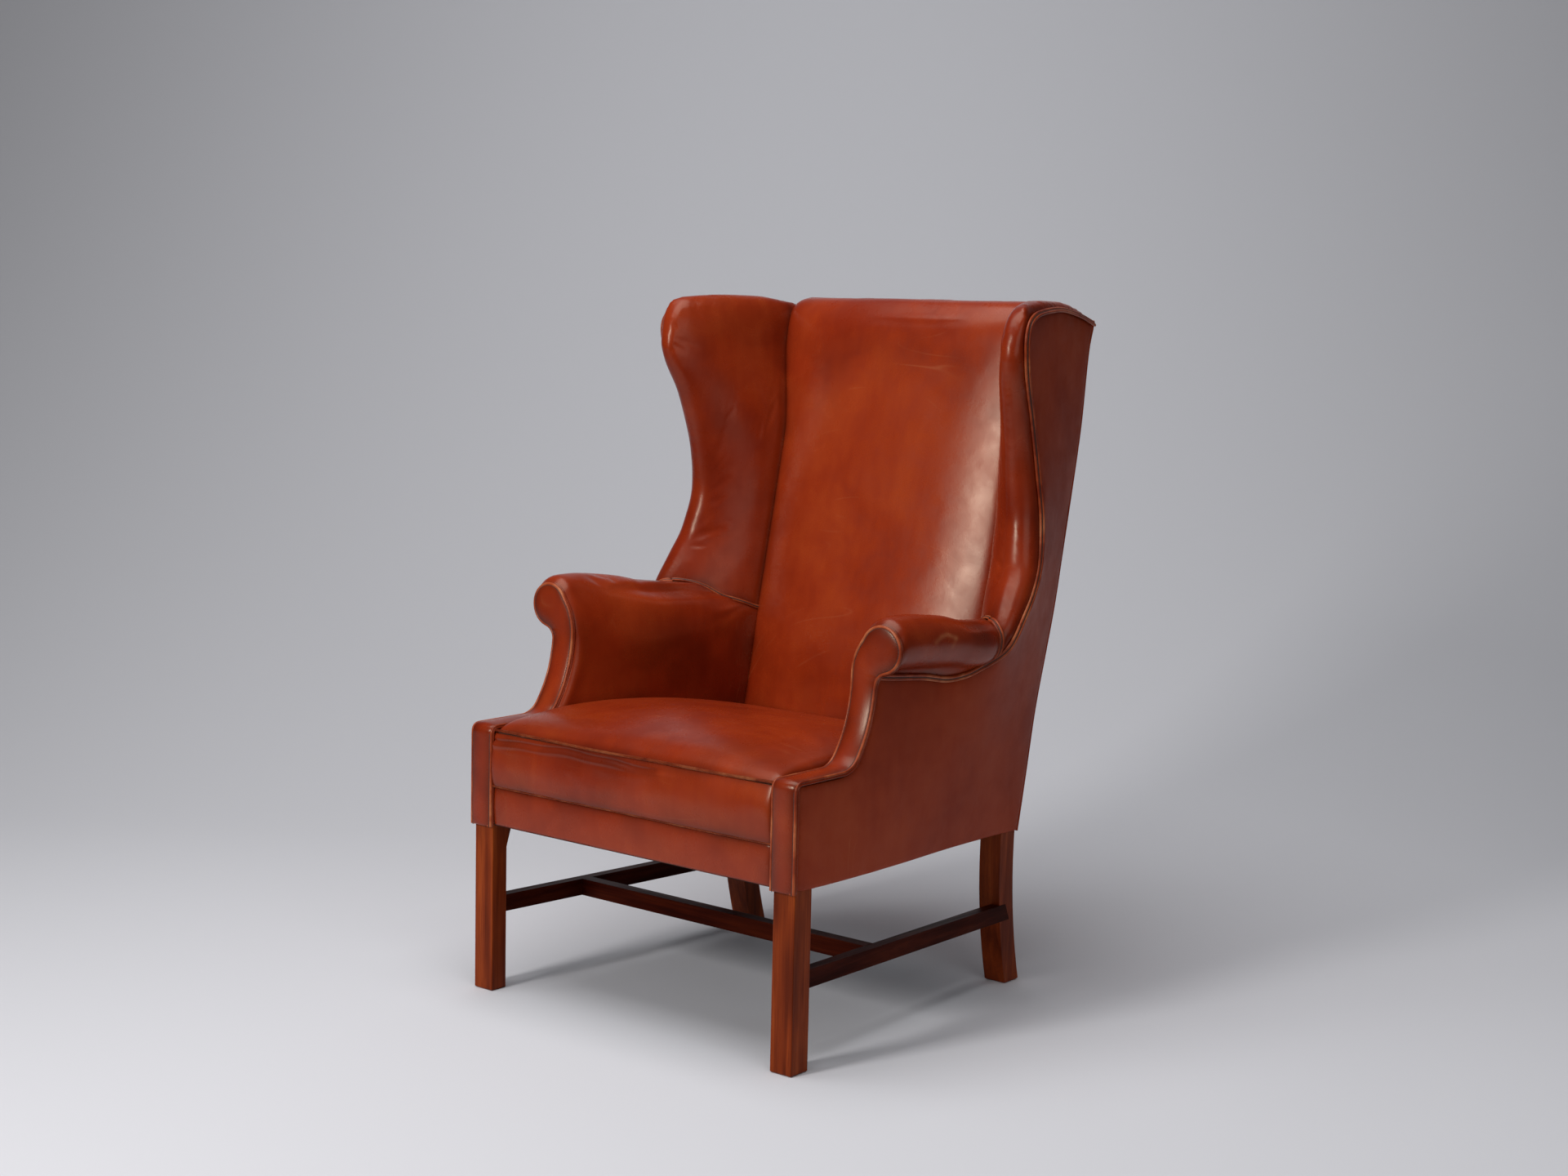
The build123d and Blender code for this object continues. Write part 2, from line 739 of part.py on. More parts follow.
# The same below the wing, where the side leather rises above the falling seam
def beside_side():
    sheet = side_sheet([panel_split_height - arm_fall, panel_split_height + soft_gap],
                       skin + soft_gap, 2 * scroll_radius)
    far = rear_y(neck_height)
    start = seam_depth(panel_split_height)
    return sheet & block(0, 2 * box_outer, start, far, 0, box_outer * 2)


# The wing's outer seam at a height, with its directions towards the front and inwards
def wing_frame(height, z):
    reach, flare, thick = [table_value([(row[0], row[column]) for row in wing_shares], height)
                           for column in (1, 2, 3)]
    seam = (rear_x(z) + wing_flare * flare, rear_y(z) - wing_reach * reach)
    angle = math.atan2(seam[0] - rear_x(z), rear_y(z) - seam[1])
    ahead = (math.sin(angle), -math.cos(angle))
    inward = (-math.cos(angle), -math.sin(angle))

    def from_seam(along, across):
        return (seam[0] + ahead[0] * along + inward[0] * across,
                seam[1] + ahead[1] * along + inward[1] * across)

    return from_seam, wing_thickness * thick


# One level of the wing in plan: outer seam, rounded front, inner face, crease, rear
def wing_level(height, z, grow, with_panel, draw=(0, 0, 0)):
    from_seam, depth = wing_frame(height, z)
    front_draw = wing_reach * draw[0]
    rear = rear_y(z) - skin - wing_reach * draw[1] + grow
    side_draw = depth * draw[2]
    outer_set = -grow if with_panel else skin + soft_gap + side_draw
    inner_set = depth - side_draw + grow
    half = (inner_set - outer_set) / 2
    middle = (inner_set + outer_set) / 2
    outer = from_seam(-front_draw, outer_set)
    inner = from_seam(-front_draw, inner_set)
    nose = from_seam(half * nose_share - front_draw, middle)
    slant = half * math.sqrt(0.5)
    outer_mid = from_seam(slant * nose_share - front_draw, middle - slant)
    inner_mid = from_seam(slant * nose_share - front_draw, middle + slant)
    fold = crease_x(z) + side_draw - grow
    crease = (fold, min(crease_y(z) - grow, rear - skin))
    rear_outer = (rear_x(z) + grow if with_panel else rear_x(z) - skin - soft_gap - side_draw, rear)
    steps = [outer, (outer_mid, nose), (inner_mid, inner), crease, (fold, rear), rear_outer]

    def place(point):
        if isinstance(point[0], tuple):
            return tuple(place(part) for part in point)
        return (point[0], point[1], z)

    return closed(*[place(step) for step in steps])


def wing_solid(grow=0, with_panel=False):
    wires = []
    for height, *_ in wing_shares:
        z = panel_split_height + wing_height * height
        if height == 0:
            z = z + soft_gap - grow
        wires.append(wing_level(height, z, grow, with_panel))
    top = wing_shares[-1][0]
    for crown, front, rear, side in wing_top_shares:
        z = panel_split_height + wing_height * top + wing_crown * crown + grow
        wires.append(wing_level(top, z, grow, with_panel, (front, rear, side)))
    return Solid.make_loft(wires, True)


# Beech post in the wing, standing on the arm board, and the rail from its head to the back post
def make_wing_post(grow=0):
    top = post_top_height - wing_rail_height
    start = (neck_height - panel_split_height) / wing_height
    stop = (top - panel_split_height) / wing_height
    heights = [start] + [row[0] for row in wing_shares if start < row[0] < stop] + [stop]
    wires = []
    for height in heights:
        z = panel_split_height + wing_height * height
        from_seam, depth = wing_frame(height, z)
        near = depth / 2 - wing_post_thickness / 2 - grow
        far = depth / 2 + wing_post_thickness / 2 + grow
        front = grow - wing_post_setback
        back = -grow - wing_post_setback - wing_post_depth
        wires.append(closed(*[(*from_seam(*corner), z) for corner in
                              ((front, far), (front, near), (back, near), (back, far))]))
    return solid_of(Solid.make_loft(wires, True) - make_arm_board())


def make_wing_rail(grow=0):
    z0 = post_top_height - wing_rail_height
    from_seam, depth = wing_frame((z0 - panel_split_height) / wing_height, z0)
    near = depth / 2 - wing_post_thickness / 2 - grow
    far = depth / 2 + wing_post_thickness / 2 + grow
    front = grow - wing_post_setback
    back = -wing_reach
    rail = plan_prism(*[from_seam(*corner) for corner in
                        ((front, far), (front, near), (back, near), (back, far))],
                      low=z0 - grow, high=post_top_height + grow)
    return max((rail - rear_leg_blank()).solids(), key=lambda part: -part.center().Y)


def make_inside_wing():
    wing = wing_solid() - frame_space() - make_arm_board(soft_gap) - under_seam()
    return solid_of(solid_of(wing) - make_wing_post(soft_gap) - make_wing_rail(soft_gap))


# A band along the side's surface, from inside it to outside it
def side_sheet(levels, near, far):
    wires = []
    for z in levels:
        depths = [0, leg_side, arm_setback + strip_thickness, post_front(z), rear_y(z)]
        outer = [(side_skin_x(y, z) + far, y, z) for y in depths]
        inner = [(side_skin_x(y, z) - near, y, z) for y in reversed(depths)]
        wires.append(closed(*outer, *inner))
    return Solid.make_loft(wires, True)


# Outer leather of the side: a lower sheet from the strip to the back, and the flared sheet of the wing
def make_outside_panel():
    kinks = [z for z in rake_levels() if z < neck_height]
    sheet = side_sheet([rear_bottom_height - overrun] + kinks + [neck_height], skin, 0)
    far = rear_y(neck_height) + overrun
    outline = side_prism(
        (0, box_bottom_height), (0, roll_seam(0)), (seam_depth(panel_split_height), panel_split_height),
        (far, panel_split_height), (far, box_bottom_height - box_fall(far)), low=0, high=box_outer + overrun)
    sheet = sheet & outline & behind_strip(-strip_thickness, neck_height + overrun, 0, box_outer + overrun)

    wires = []
    top = wing_shares[-1][0]
    for height in [row[0] for row in wing_shares] + [1]:
        z = panel_split_height + wing_height * height
        from_seam, _ = wing_frame(min(height, top), z)
        rear = rear_y(z)
        wires.append(closed((*from_seam(0, 0), z), (rear_x(z), rear, z), (rear_x(z) - skin, rear, z),
                            (*from_seam(0, skin), z)))
    upper = Solid.make_loft(wires, True)
    corner = rear_y(rear_corner_height)
    edge = [(corner - wing_reach * reach, panel_split_height + wing_height * height)
            for reach, height in panel_top_shares]
    far = corner - 2 * wing_reach
    outline = side_prism(
        (far, edge[0][1]), edge[0], (edge[1], edge[2]), (edge[3], edge[4]), edge[5],
        (corner + overrun, edge[5][1]), (corner + overrun, panel_split_height), (far, panel_split_height),
        low=0, high=box_outer + wing_flare)
    return solid_of(solid_of(solid_of(sheet) + solid_of(upper & outline)) - rear_space())


def make_outside_back():
    levels = rake_levels()
    back = [(rear_y(z), z) for z in levels]
    front = [(rear_y(z) - skin, z) for z in reversed(levels)]
    half = box_outer + wing_flare
    sheet = side_prism(*back, *front, low=-half, high=half)
    low = rear_x(rear_bottom_height)
    high = rear_x(rear_corner_height)
    outline = front_prism((-low, rear_bottom_height), (-high, rear_corner_height), (high, rear_corner_height),
                          (low, rear_bottom_height), low=0, high=rear_y(rear_corner_height) + overrun)
    return solid_of(sheet & outline)


# A raked rail between the back posts
def back_rail(z0, z1):
    levels = [z0] + [z for z in rake_levels() if z0 < z < z1] + [z1]
    front = [(post_front(z), z) for z in levels]
    rear = [(rear_y(z) - skin, z) for z in reversed(levels)]
    rail = side_prism(*front, *rear, low=-box_outer, high=box_outer)
    low = post_inner(z0)
    high = post_inner(z1)
    outline = front_prism((-low, z0), (-high, z1), (high, z1), (low, z0),
                          low=0, high=rear_y(rear_corner_height) + overrun)
    return solid_of(rail & outline)


# One level of the padded back in plan, with its crown towards the sitter
def back_level(z, crown, grow, open_rear, draw=(0, 0, 0)):
    depth = rear_y(z) - skin - crease_y(z)
    half = (crease_x(z) - soft_gap) * (1 - draw[2]) + grow
    front = crease_y(z) + depth * draw[0] - grow
    nose = front - back_crown * crown
    rear = rear_y(z) - skin - depth * draw[1] + (overrun if open_rear else grow)
    return closed((-half, front, z), ((0, nose, z), (half, front, z)), (half, rear, z), (-half, rear, z))


def back_solid(grow=0, open_rear=False):
    wires = []
    for height, crown in back_shares:
        z = panel_split_height + wing_height * height
        if height == back_shares[0][0]:
            z = seat_deck_height + hessian_thickness + soft_gap
            z = z - overrun if open_rear else z
        wires.append(back_level(z, crown, grow, open_rear))
    top = back_shares[-1][0]
    for crown, front, rear, side in back_top_shares:
        z = panel_split_height + wing_height * top + wing_crown * crown + grow
        fade = 1 - crown * top_crown_fade_share
        wires.append(back_level(z, back_shares[-1][1] * fade, grow, False, (front, rear, side)))
    return Solid.make_loft(wires, True)


def make_back():
    space = frame_space()
    cover = solid_of(back_solid() - space - back_solid(-skin, True))
    filling = solid_of(back_solid(-skin - soft_gap) - space)
    return cover, filling


def make_back_webbing():
    low = seat_deck_height + lower_back_rail_lift
    high = post_top_height
    levels = [low] + [z for z in rake_levels() if low < z < high] + [high]
    back = [(post_front(z), z) for z in levels]
    front = [(post_front(z) - web_thickness, z) for z in reversed(levels)]
    half = crease_half_width + crease_spread
    sheet = side_prism(*back, *front, low=-half, high=half)
    far = rear_y(high)
    holes = []
    pitch_x = 2 * half / back_web_columns
    pitch_z = (high - low) / back_web_rows
    for column in range(back_web_columns + 1):
        for row in range(back_web_rows):
            x0 = -half + pitch_x * (column - 0.5) + web_width / 2
            z0 = low + pitch_z * (row - 0.5) + web_width / 2
            holes.append(block(x0, x0 + pitch_x - web_width, 0, far, z0, z0 + pitch_z - web_width))
    return sheet, holes


# Padded seat: sections across the chair, each with its crown
def seat_solid(inset, rear):
    base = seat_seam_height - seat_base_drop
    wires = []
    for share, crown in seat_shares:
        rise = seat_base_drop + seat_crown * crown - inset
        if rise < skin and inset > 0:
            continue
        y = between(seat_seam_setback, rear, share)
        half = min(strip_inner, arm_inner(y)) - soft_gap - inset
        shoulder = half * seat_shoulder_share
        edge = base + rise * seat_edge_share
        brow = base + rise * seat_brow_share
        bend = (between(shoulder, half, seat_bend_share), between(edge, brow, seat_bend_rise_share))
        wires.append(closed((-half, y, base), (half, y, base), (half, y, edge),
                            ((bend[0], y, bend[1]), (shoulder, y, brow)),
                            ((0, y, base + rise), (-shoulder, y, brow)),
                            ((-bend[0], y, bend[1]), (-half, y, edge))))
    return Solid.make_loft(wires, True)


def make_seat():
    rear = crease_start_depth + skin
    back = back_solid(soft_gap)
    cover = solid_of(seat_solid(0, rear) - back)
    inner = seat_solid(skin, rear)
    pad = solid_of(seat_solid(skin + soft_gap, rear) - back)
    base = seat_seam_height - seat_base_drop
    deck = seat_deck_height + hessian_thickness
    ends = [rail_thickness + soft_gap, arm_setback, rear]
    right = [(arm_inner(y) - soft_gap, y) for y in ends]
    left = [(-x, y) for x, y in reversed(right)]
    slab = solid_of(plan_prism(*right, *left, low=deck, high=base) - back)
    half = leg_outer - leg_side - soft_gap
    rear_half = rear_leg_span / 2 - leg_side
    right = [(half, rail_thickness), (half, arm_setback + stump_depth), (rear_half, rear)]
    left = [(-x, y) for x, y in reversed(right)]
    cloth = plan_prism(*right, *left, low=seat_deck_height, high=deck)
    return solid_of(cover - inner), pad, slab, cloth


# The bulged border between the front seams, with its roll of hair on the front rail
def border_arc(inset):
    low = seam_height + piping_diameter / 2 + piping_gap
    high = seat_seam_height - seat_base_drop
    middle = (low + high) / 2
    return (inset, low), ((inset - border_bulge, middle), (seat_seam_setback + inset, high))


def make_border():
    half = strip_inner - soft_gap
    start, (middle, end) = border_arc(0)
    back_start, (back_middle, back_end) = border_arc(skin)
    cover = side_prism(start, (middle, end), back_end, (back_middle, back_start), low=-half, high=half)
    start, (middle, end) = border_arc(skin + soft_gap)
    rail_top = box_bottom_height + skin + rail_height
    roll = side_prism((start[0], rail_top), start, (middle, end), (rail_thickness, end[1]),
                      (rail_thickness, rail_top), low=-half, high=half)
    return cover, roll


def make_rail_band():
    half = strip_inner - soft_gap
    top = seam_height - piping_diameter / 2 - piping_gap
    return block(-half, half, -band_thickness, 0, box_bottom_height + band_thickness, top)


def straight_piping(y, z):
    half = strip_inner - soft_gap
    return Solid.make_cylinder(piping_diameter / 2, 2 * half, Plane(origin=(-half, y, z), z_dir=(1, 0, 0)))


# A round piping through a run of points, mitred at each bend
def chain_piping(points, grow):
    rings = []
    for place, point in enumerate(points):
        before = points[max(place - 1, 0)]
        after = points[min(place + 1, len(points) - 1)]
        along = (Vector(*after) - Vector(*before)).normalized()
        side = Vector(1, 0, 0) - along * along.X
        plane = Plane(origin=point, x_dir=side, z_dir=along)
        rings.append(Wire.make_circle(piping_diameter / 2 + grow, plane))
    return Solid.make_loft(rings, True)


# The piping under the arm roll runs on up the wing's outer edge and back along its top
def make_wing_piping(grow=0):
    stand = piping_diameter / 2 + piping_gap
    start = arm_setback + strip_thickness + piping_diameter
    stop = seam_depth(panel_split_height + piping_diameter)
    points = []
    for share in (0, 0.5, 1):
        y = between(start, stop, share)
        points.append((side_skin_x(y, roll_seam(y)) + stand, y, roll_seam(y)))
    top = wing_shares[-1][0]
    for height, *_ in wing_shares[1:-1]:
        z = panel_split_height + wing_height * height
        from_seam, _ = wing_frame(height, z)
        points.append((*from_seam(0, -stand), z))
    for reach, height in panel_top_shares[1:]:
        z = panel_split_height + wing_height * height
        from_seam, _ = wing_frame(min(height, top), z)
        depth = wing_reach * (wing_shares[-1][1] - reach)
        points.append((*from_seam(-max(depth, 0), -stand), z))
    return chain_piping(points, grow)


# Double piping along the strip: up one edge, round the scroll and down the other edge
def strip_piping(inset):
    stand = piping_diameter / 2 + piping_gap
    path = strip_path(stand, neck_height)
    front = arm_setback - stand

    def rail_edges(x):
        edges = []
        here = (x, *path[0])
        for step in path[1:]:
            if isinstance(step[0], tuple):
                stop = (x, *step[1])
                edges.append(ThreePointArc(here, (x, *step[0]), stop).edge())
            else:
                stop = (x, *step)
                if (Vector(*stop) - Vector(*here)).length < piping_gap:
                    continue
                edges.append(Line(here, stop).edge())
            here = stop
        return edges

    edges = rail_edges(strip_inner + inset) + rail_edges(strip_outer - inset)
    around = scroll_outline(-inset)
    here = (around[1][0], front, around[1][1])
    for middle, stop in around[2:-1]:
        stop = (stop[0], front, stop[1])
        edges.append(ThreePointArc(here, (middle[0], front, middle[1]), stop).edge())
        here = stop
    start = (strip_inner + inset, *path[0])
    ring = Wire.make_circle(piping_diameter / 2, Plane(origin=start, z_dir=(0, 0, 1)))
    return Solid.sweep(Face(ring), Wire(edges))


# Springs stand on the webbing and carry the hessian
def make_springs():
    springs = []
    for column in range(spring_columns):
        for row in range(spring_rows):
            x = spring_pitch * (column - (spring_columns - 1) / 2)
            y = spring_centre_depth + spring_pitch * (row - (spring_rows - 1) / 2)
            low = box_bottom_height + skin - box_fall(y - spring_end_diameter / 2)
            high = seat_deck_height
            end = spring_end_diameter / 2
            waist = spring_waist_diameter / 2
            middle = (low + high) / 2
            start = (end, 0, low)
            outline = closed(start, ((waist, 0, middle), (end, 0, high)), (end - spring_wall, 0, high),
                             ((waist - spring_wall, 0, middle), (end - spring_wall, 0, low)))
            shell = Solid.revolve(Face(outline), 360, Axis.Z)
            springs.append(Pos(x, y, 0) * shell)
    return springs


# A thin sheet along the sloping underside of the seat box
def under_sheet(top_drop, thickness, edge, front, rear):
    def underside(y):
        return box_bottom_height + skin - top_drop - box_fall(y)

    profile = side_prism((front, underside(front)), (rear, underside(rear)),
                         (rear, underside(rear) - thickness), (front, underside(front) - thickness),
                         low=-box_outer, high=box_outer)
    outline = [(rail_outer(y) - edge, y) for y in (front, rear)]
    plan = plan_prism(*outline, *[(-x, y) for x, y in reversed(outline)], low=0, high=box_top_height)
    return profile & plan


def make_seat_webbing():
    inset = rail_thickness / 2
    front = inset
    rear = rear_leg_back - inset
    sheet = under_sheet(0, web_thickness, inset, front, rear)
    bands = []
    for column in range(seat_web_columns):
        x = spring_pitch / 2 * (column - (seat_web_columns - 1) / 2)
        bands.append(block(x - web_width / 2, x + web_width / 2, 0, rear_leg_back, 0, box_top_height))
    for row in range(seat_web_rows):
        y = spring_centre_depth + web_row_pitch * (row - (seat_web_rows - 1) / 2)
        bands.append(block(-box_outer, box_outer, y - web_width / 2, y + web_width / 2, 0, box_top_height))
    return solid_of(sheet & bands[0].fuse(*bands[1:]))


def make_under_cover():
    sheet = under_sheet(web_thickness, under_cover_thickness, 2 * skin, skin, rear_leg_back - skin)
    legs = [block(leg_outer - leg_side - soft_gap, box_outer, 0, leg_side + soft_gap, 0, box_top_height)]
    inner = rear_leg_span / 2 - leg_side
    front = rear_leg_front - soft_gap
    legs.append(block(inner - soft_gap, box_outer, front, seat_box_depth, 0, box_top_height))
    return solid_of(sheet - legs[0] - legs[1] - mirrored(legs[0]) - mirrored(legs[1]))


def make_tacks():
    tacks = []
    places = []
    for step in range(tacks_per_side):
        share = (step + 0.5) / tacks_per_side
        y = between(leg_side, rear_leg_front, share)
        places += [(rail_outer(y) - rail_thickness / 2, y), (rail_thickness / 2 - rail_outer(y), y)]
        x = between(-1, 1, share)
        places += [(x * (leg_outer - leg_side), rail_thickness / 2),
                   (x * (rear_leg_span / 2 - leg_side), rear_leg_back - rail_thickness / 2)]
    drop = web_thickness + under_cover_thickness
    for x, y in places:
        top = box_bottom_height + skin - drop - box_fall(y + tack_head_diameter / 2)
        head = Solid.make_cylinder(tack_head_diameter / 2, tack_head_height)
        head = head.chamfer(tack_head_height / 2, None, head.edges().group_by(Axis.Z)[0])
        tacks.append(Pos(x, y, top - tack_head_height) * head)
    return tacks


made = make_rails()
made_side, made_cross = make_stretchers()
front_screws = block_screws(True, 0)
rear_screws = block_screws(False, 0)
front_holes = block_screws(True, joint_clearance)
rear_holes = block_screws(False, joint_clearance)
keep_pair("front_leg", solid_of(make_front_leg() - front_holes[0] - front_holes[1]))
keep_pair("rear_leg", solid_of(make_rear_leg() - rear_holes[0] - rear_holes[1]))
keep_pair("side_stretcher", made_side)
keep("cross_stretcher", made_cross)
keep_pair("side_seat_rail", made[0])
keep("front_seat_rail", made[1])
keep("rear_seat_rail", made[2])
front_block = solid_of(corner_block(True) - front_holes[0] - front_holes[1])
rear_block = solid_of(corner_block(False) - rear_holes[0] - rear_holes[1])
keep("corner_blocks", Compound([front_block, mirrored(front_block), rear_block, mirrored(rear_block)]))
screws = front_screws + rear_screws
keep("corner_block_screws", Compound(screws + [mirrored(screw) for screw in screws]))
keep_pair("arm_front_strip", make_strip())
keep_pair("arm_stump", make_stump())
keep_pair("arm_board", make_arm_board())
keep_pair("wing_post", make_wing_post())
keep_pair("wing_rail", make_wing_rail())
keep("crest_rail", back_rail(post_top_height - crest_rail_height, post_top_height))
keep("lower_back_rail", back_rail(seat_deck_height + lower_back_rail_lift,
                                  seat_deck_height + lower_back_rail_lift + lower_back_rail_height))
keep_pair("inside_arm", make_inside_arm())
keep_pair("arm_roll", make_arm_roll())
keep_pair("inside_wing", make_inside_wing())
side_panel = make_outside_panel()
keep_pair("outside_panel", side_panel)
keep("outside_back", make_outside_back())
web_sheet, web_holes = make_back_webbing()
keep("back_webbing", solid_of(web_sheet - web_holes[0].fuse(*web_holes[1:])))
back_cover, back_pad = make_back()
keep("inside_back", back_cover)
keep("back_filling", back_pad)
seat_cover, seat_pad, seat_slab, seat_cloth = make_seat()
keep("seat_cover", seat_cover)
keep("seat_wadding", seat_pad)
keep("seat_filling", seat_slab)
keep("seat_hessian", seat_cloth)
keep("seat_springs", Compound(make_springs()))
keep("seat_webbing", make_seat_webbing())
border_cover, border_roll = make_border()
keep("seat_front_border", border_cover)
keep("seat_edge_roll", border_roll)
keep("front_rail_band", make_rail_band())
stand = piping_diameter / 2 + piping_gap
keep("rail_piping", straight_piping(-stand, seam_height))
keep("seat_piping", straight_piping(seat_seam_setback - stand, seat_seam_height - seat_base_drop + stand))
keep_pair("wing_piping", solid_of(make_wing_piping() - side_panel))
edge_pipings = [strip_piping(piping_diameter / 2), strip_piping(piping_diameter / 2 + piping_pitch)]
keep("strip_piping_left", Compound(edge_pipings))
keep("strip_piping_right", Compound([mirrored(piping) for piping in edge_pipings]))
keep("under_cover", make_under_cover())
keep("under_cover_tacks", Compound(make_tacks()))

# Centre the footprint's box on the origin
boxes = [shape.bounding_box() for shape in nodes.values()]
middle_y = (min(box.min.Y for box in boxes) + max(box.max.Y for box in boxes)) / 2
os.makedirs("parts", exist_ok=True)
for name, shape in nodes.items():
    export_step(Pos(0, -middle_y, 0) * shape, "parts/" + name + ".step")
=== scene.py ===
import math

import bmesh
import bpy
import numpy as np
from mathutils import Matrix, Vector, noise
from mathutils.bvhtree import BVHTree
from mathutils.geometry import delaunay_2d_cdt
from mathutils.kdtree import KDTree


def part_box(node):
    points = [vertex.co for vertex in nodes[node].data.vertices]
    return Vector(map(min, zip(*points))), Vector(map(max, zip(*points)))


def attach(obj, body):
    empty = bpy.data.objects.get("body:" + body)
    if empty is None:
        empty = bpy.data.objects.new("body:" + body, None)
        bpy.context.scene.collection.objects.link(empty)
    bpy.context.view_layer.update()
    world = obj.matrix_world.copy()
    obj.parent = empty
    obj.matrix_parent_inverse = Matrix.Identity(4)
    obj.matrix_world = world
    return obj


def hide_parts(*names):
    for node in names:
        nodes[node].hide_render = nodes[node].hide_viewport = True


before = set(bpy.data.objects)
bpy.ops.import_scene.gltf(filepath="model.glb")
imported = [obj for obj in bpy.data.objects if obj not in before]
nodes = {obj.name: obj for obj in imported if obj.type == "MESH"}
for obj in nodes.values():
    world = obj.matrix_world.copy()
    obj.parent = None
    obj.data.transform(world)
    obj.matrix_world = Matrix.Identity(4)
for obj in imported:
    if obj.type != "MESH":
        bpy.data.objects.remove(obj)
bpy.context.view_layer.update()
sides = (("left", 1), ("right", -1))    # the sitter's left is +X

# Sizes of the whole chair, in metres. Depth is measured back from the front legs' faces.
chair = {
    "frontY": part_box("front_leg_left")[0].y,
    "boxOuter": 0.336,
    "bottom": 0.277,
    "fall": 0.015,
    "seatDepth": 0.624,
    "rake": 0.170,
    "boxTop": 0.437,
    "top": 1.137,
    "cornerDrop": 0.037,
    "rearHalf": 0.3055,
    "topHalf": 0.312,
    "neck": 0.574,
    "split": 0.543,
    "stripIn": 0.2905,
    "stripOut": 0.3365,
    "armFront": 0.179,
    "ledge": 0.105,
    "creaseHalf": 0.240,
    "creaseSpread": 0.034,
    "creaseDepth": 0.571,
    "rearEdge": [(0, 0), (0.11, 0.11), (0.23, 0.22), (0.35, 0.38), (0.46, 0.52), (0.63, 0.69),
                 (0.8, 0.85), (0.95, 0.93), (1, 1)],    # share of the height, share of the rake
}


# A smooth value out of a table whose first column is the place
def smoothTable(rows):
    table = np.array(rows, float)
    x, y = table[:, 0], table[:, 1:]
    step = np.diff(x)
    slope = np.diff(y, axis=0) / step[:, None]
    tangent = np.zeros_like(y)
    tangent[0], tangent[-1] = slope[0], slope[-1]
    product = slope[:-1] * slope[1:]
    total = slope[:-1] + slope[1:]
    tangent[1:-1] = np.where(product > 0, 2 * product / np.where(total == 0, 1, total), 0)

    def at(place):
        place = min(max(place, x[0]), x[-1])
        k = min(int(np.searchsorted(x, place, side="right")) - 1, len(x) - 2)
        s = (place - x[k]) / step[k]
        return ((2 * s ** 3 - 3 * s ** 2 + 1) * y[k] + (s ** 3 - 2 * s ** 2 + s) * step[k] * tangent[k]
                + (3 * s ** 2 - 2 * s ** 3) * y[k + 1] + (s ** 3 - s ** 2) * step[k] * tangent[k + 1])

    return at


def between(low, high, share):
    return low + (high - low) * share


def clamp(value, low=0.0, high=1.0):
    return min(max(value, low), high)


def smooth(value):
    value = clamp(value)
    return value * value * (3 - 2 * value)


rearEdge = smoothTable(chair["rearEdge"])
rearBottom = chair["bottom"] - chair["fall"]
rearCorner = chair["top"] - chair["cornerDrop"]


def rearShare(z):
    return clamp((z - rearBottom) / (rearCorner - rearBottom))


def rearY(z):
    return chair["seatDepth"] + chair["rake"] * rearEdge(rearShare(z))[0]


def rearX(z):
    return between(chair["rearHalf"], chair["topHalf"], rearShare(z))


def creaseY(z):
    return chair["creaseDepth"] + (z - chair["boxTop"]) * chair["rake"] / (rearCorner - rearBottom)


def creaseX(z):
    start = between(chair["split"], chair["top"], 0.57)
    return chair["creaseHalf"] + chair["creaseSpread"] * smooth((z - start) / (rearCorner - start))


# Making meshes

def toFrame(point):
    return (point[0], point[1] + chair["frontY"], point[2])


def addObject(name, mesh, material, smoothShade=True):
    obj = bpy.data.objects.new(name, mesh)
    bpy.context.collection.objects.link(obj)
    mesh.materials.clear()
    mesh.materials.append(material)
    if smoothShade:
        mesh.shade_smooth()
    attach(obj, "root")
    return obj


def meshFrom(name, points, faces, merge=0.00005, flip=False, closed=False):
    mesh = bpy.data.meshes.new(name)
    mesh.from_pydata([toFrame(p) for p in points], [], [tuple(reversed(f)) if flip else f for f in faces])
    work = bmesh.new()
    work.from_mesh(mesh)
    bmesh.ops.remove_doubles(work, verts=work.verts, dist=merge)
    if closed:
        bmesh.ops.holes_fill(work, edges=[e for e in work.edges if e.is_boundary], sides=0)
        bmesh.ops.recalc_face_normals(work, faces=work.faces)
    work.to_mesh(mesh)
    work.free()
    return mesh


def gridFaces(rows, columns, wrap=False):
    faces = []
    for r in range(rows - 1):
        for c in range(columns if wrap else columns - 1):
            n = (c + 1) % columns
            faces.append((r * columns + c, r * columns + n, (r + 1) * columns + n, (r + 1) * columns + c))
    return faces


def mirroredPoints(points, side):
    return [(x * side, y, z) for x, y, z in points]


def arc(centre, radius, start, stop, count):
    return [(centre[0] + radius * math.cos(math.radians(between(start, stop, k / count))),
             centre[1] + radius * math.sin(math.radians(between(start, stop, k / count))))
            for k in range(count + 1)]


# Even steps along a run of points
def resample(points, step):
    line = np.array(points, float)
    lengths = np.concatenate([[0], np.cumsum(np.linalg.norm(np.diff(line[:, :3], axis=0), axis=1))])
    count = max(int(round(lengths[-1] / step)), 2)
    places = np.linspace(0, lengths[-1], count + 1)
    return np.stack([np.interp(places, lengths, line[:, k]) for k in range(line.shape[1])], axis=1)


def softened(points, times):
    line = np.array(points, float)
    for _ in range(times):
        line[1:-1] = (line[:-2] + 2 * line[1:-1] + line[2:]) / 4
    return line


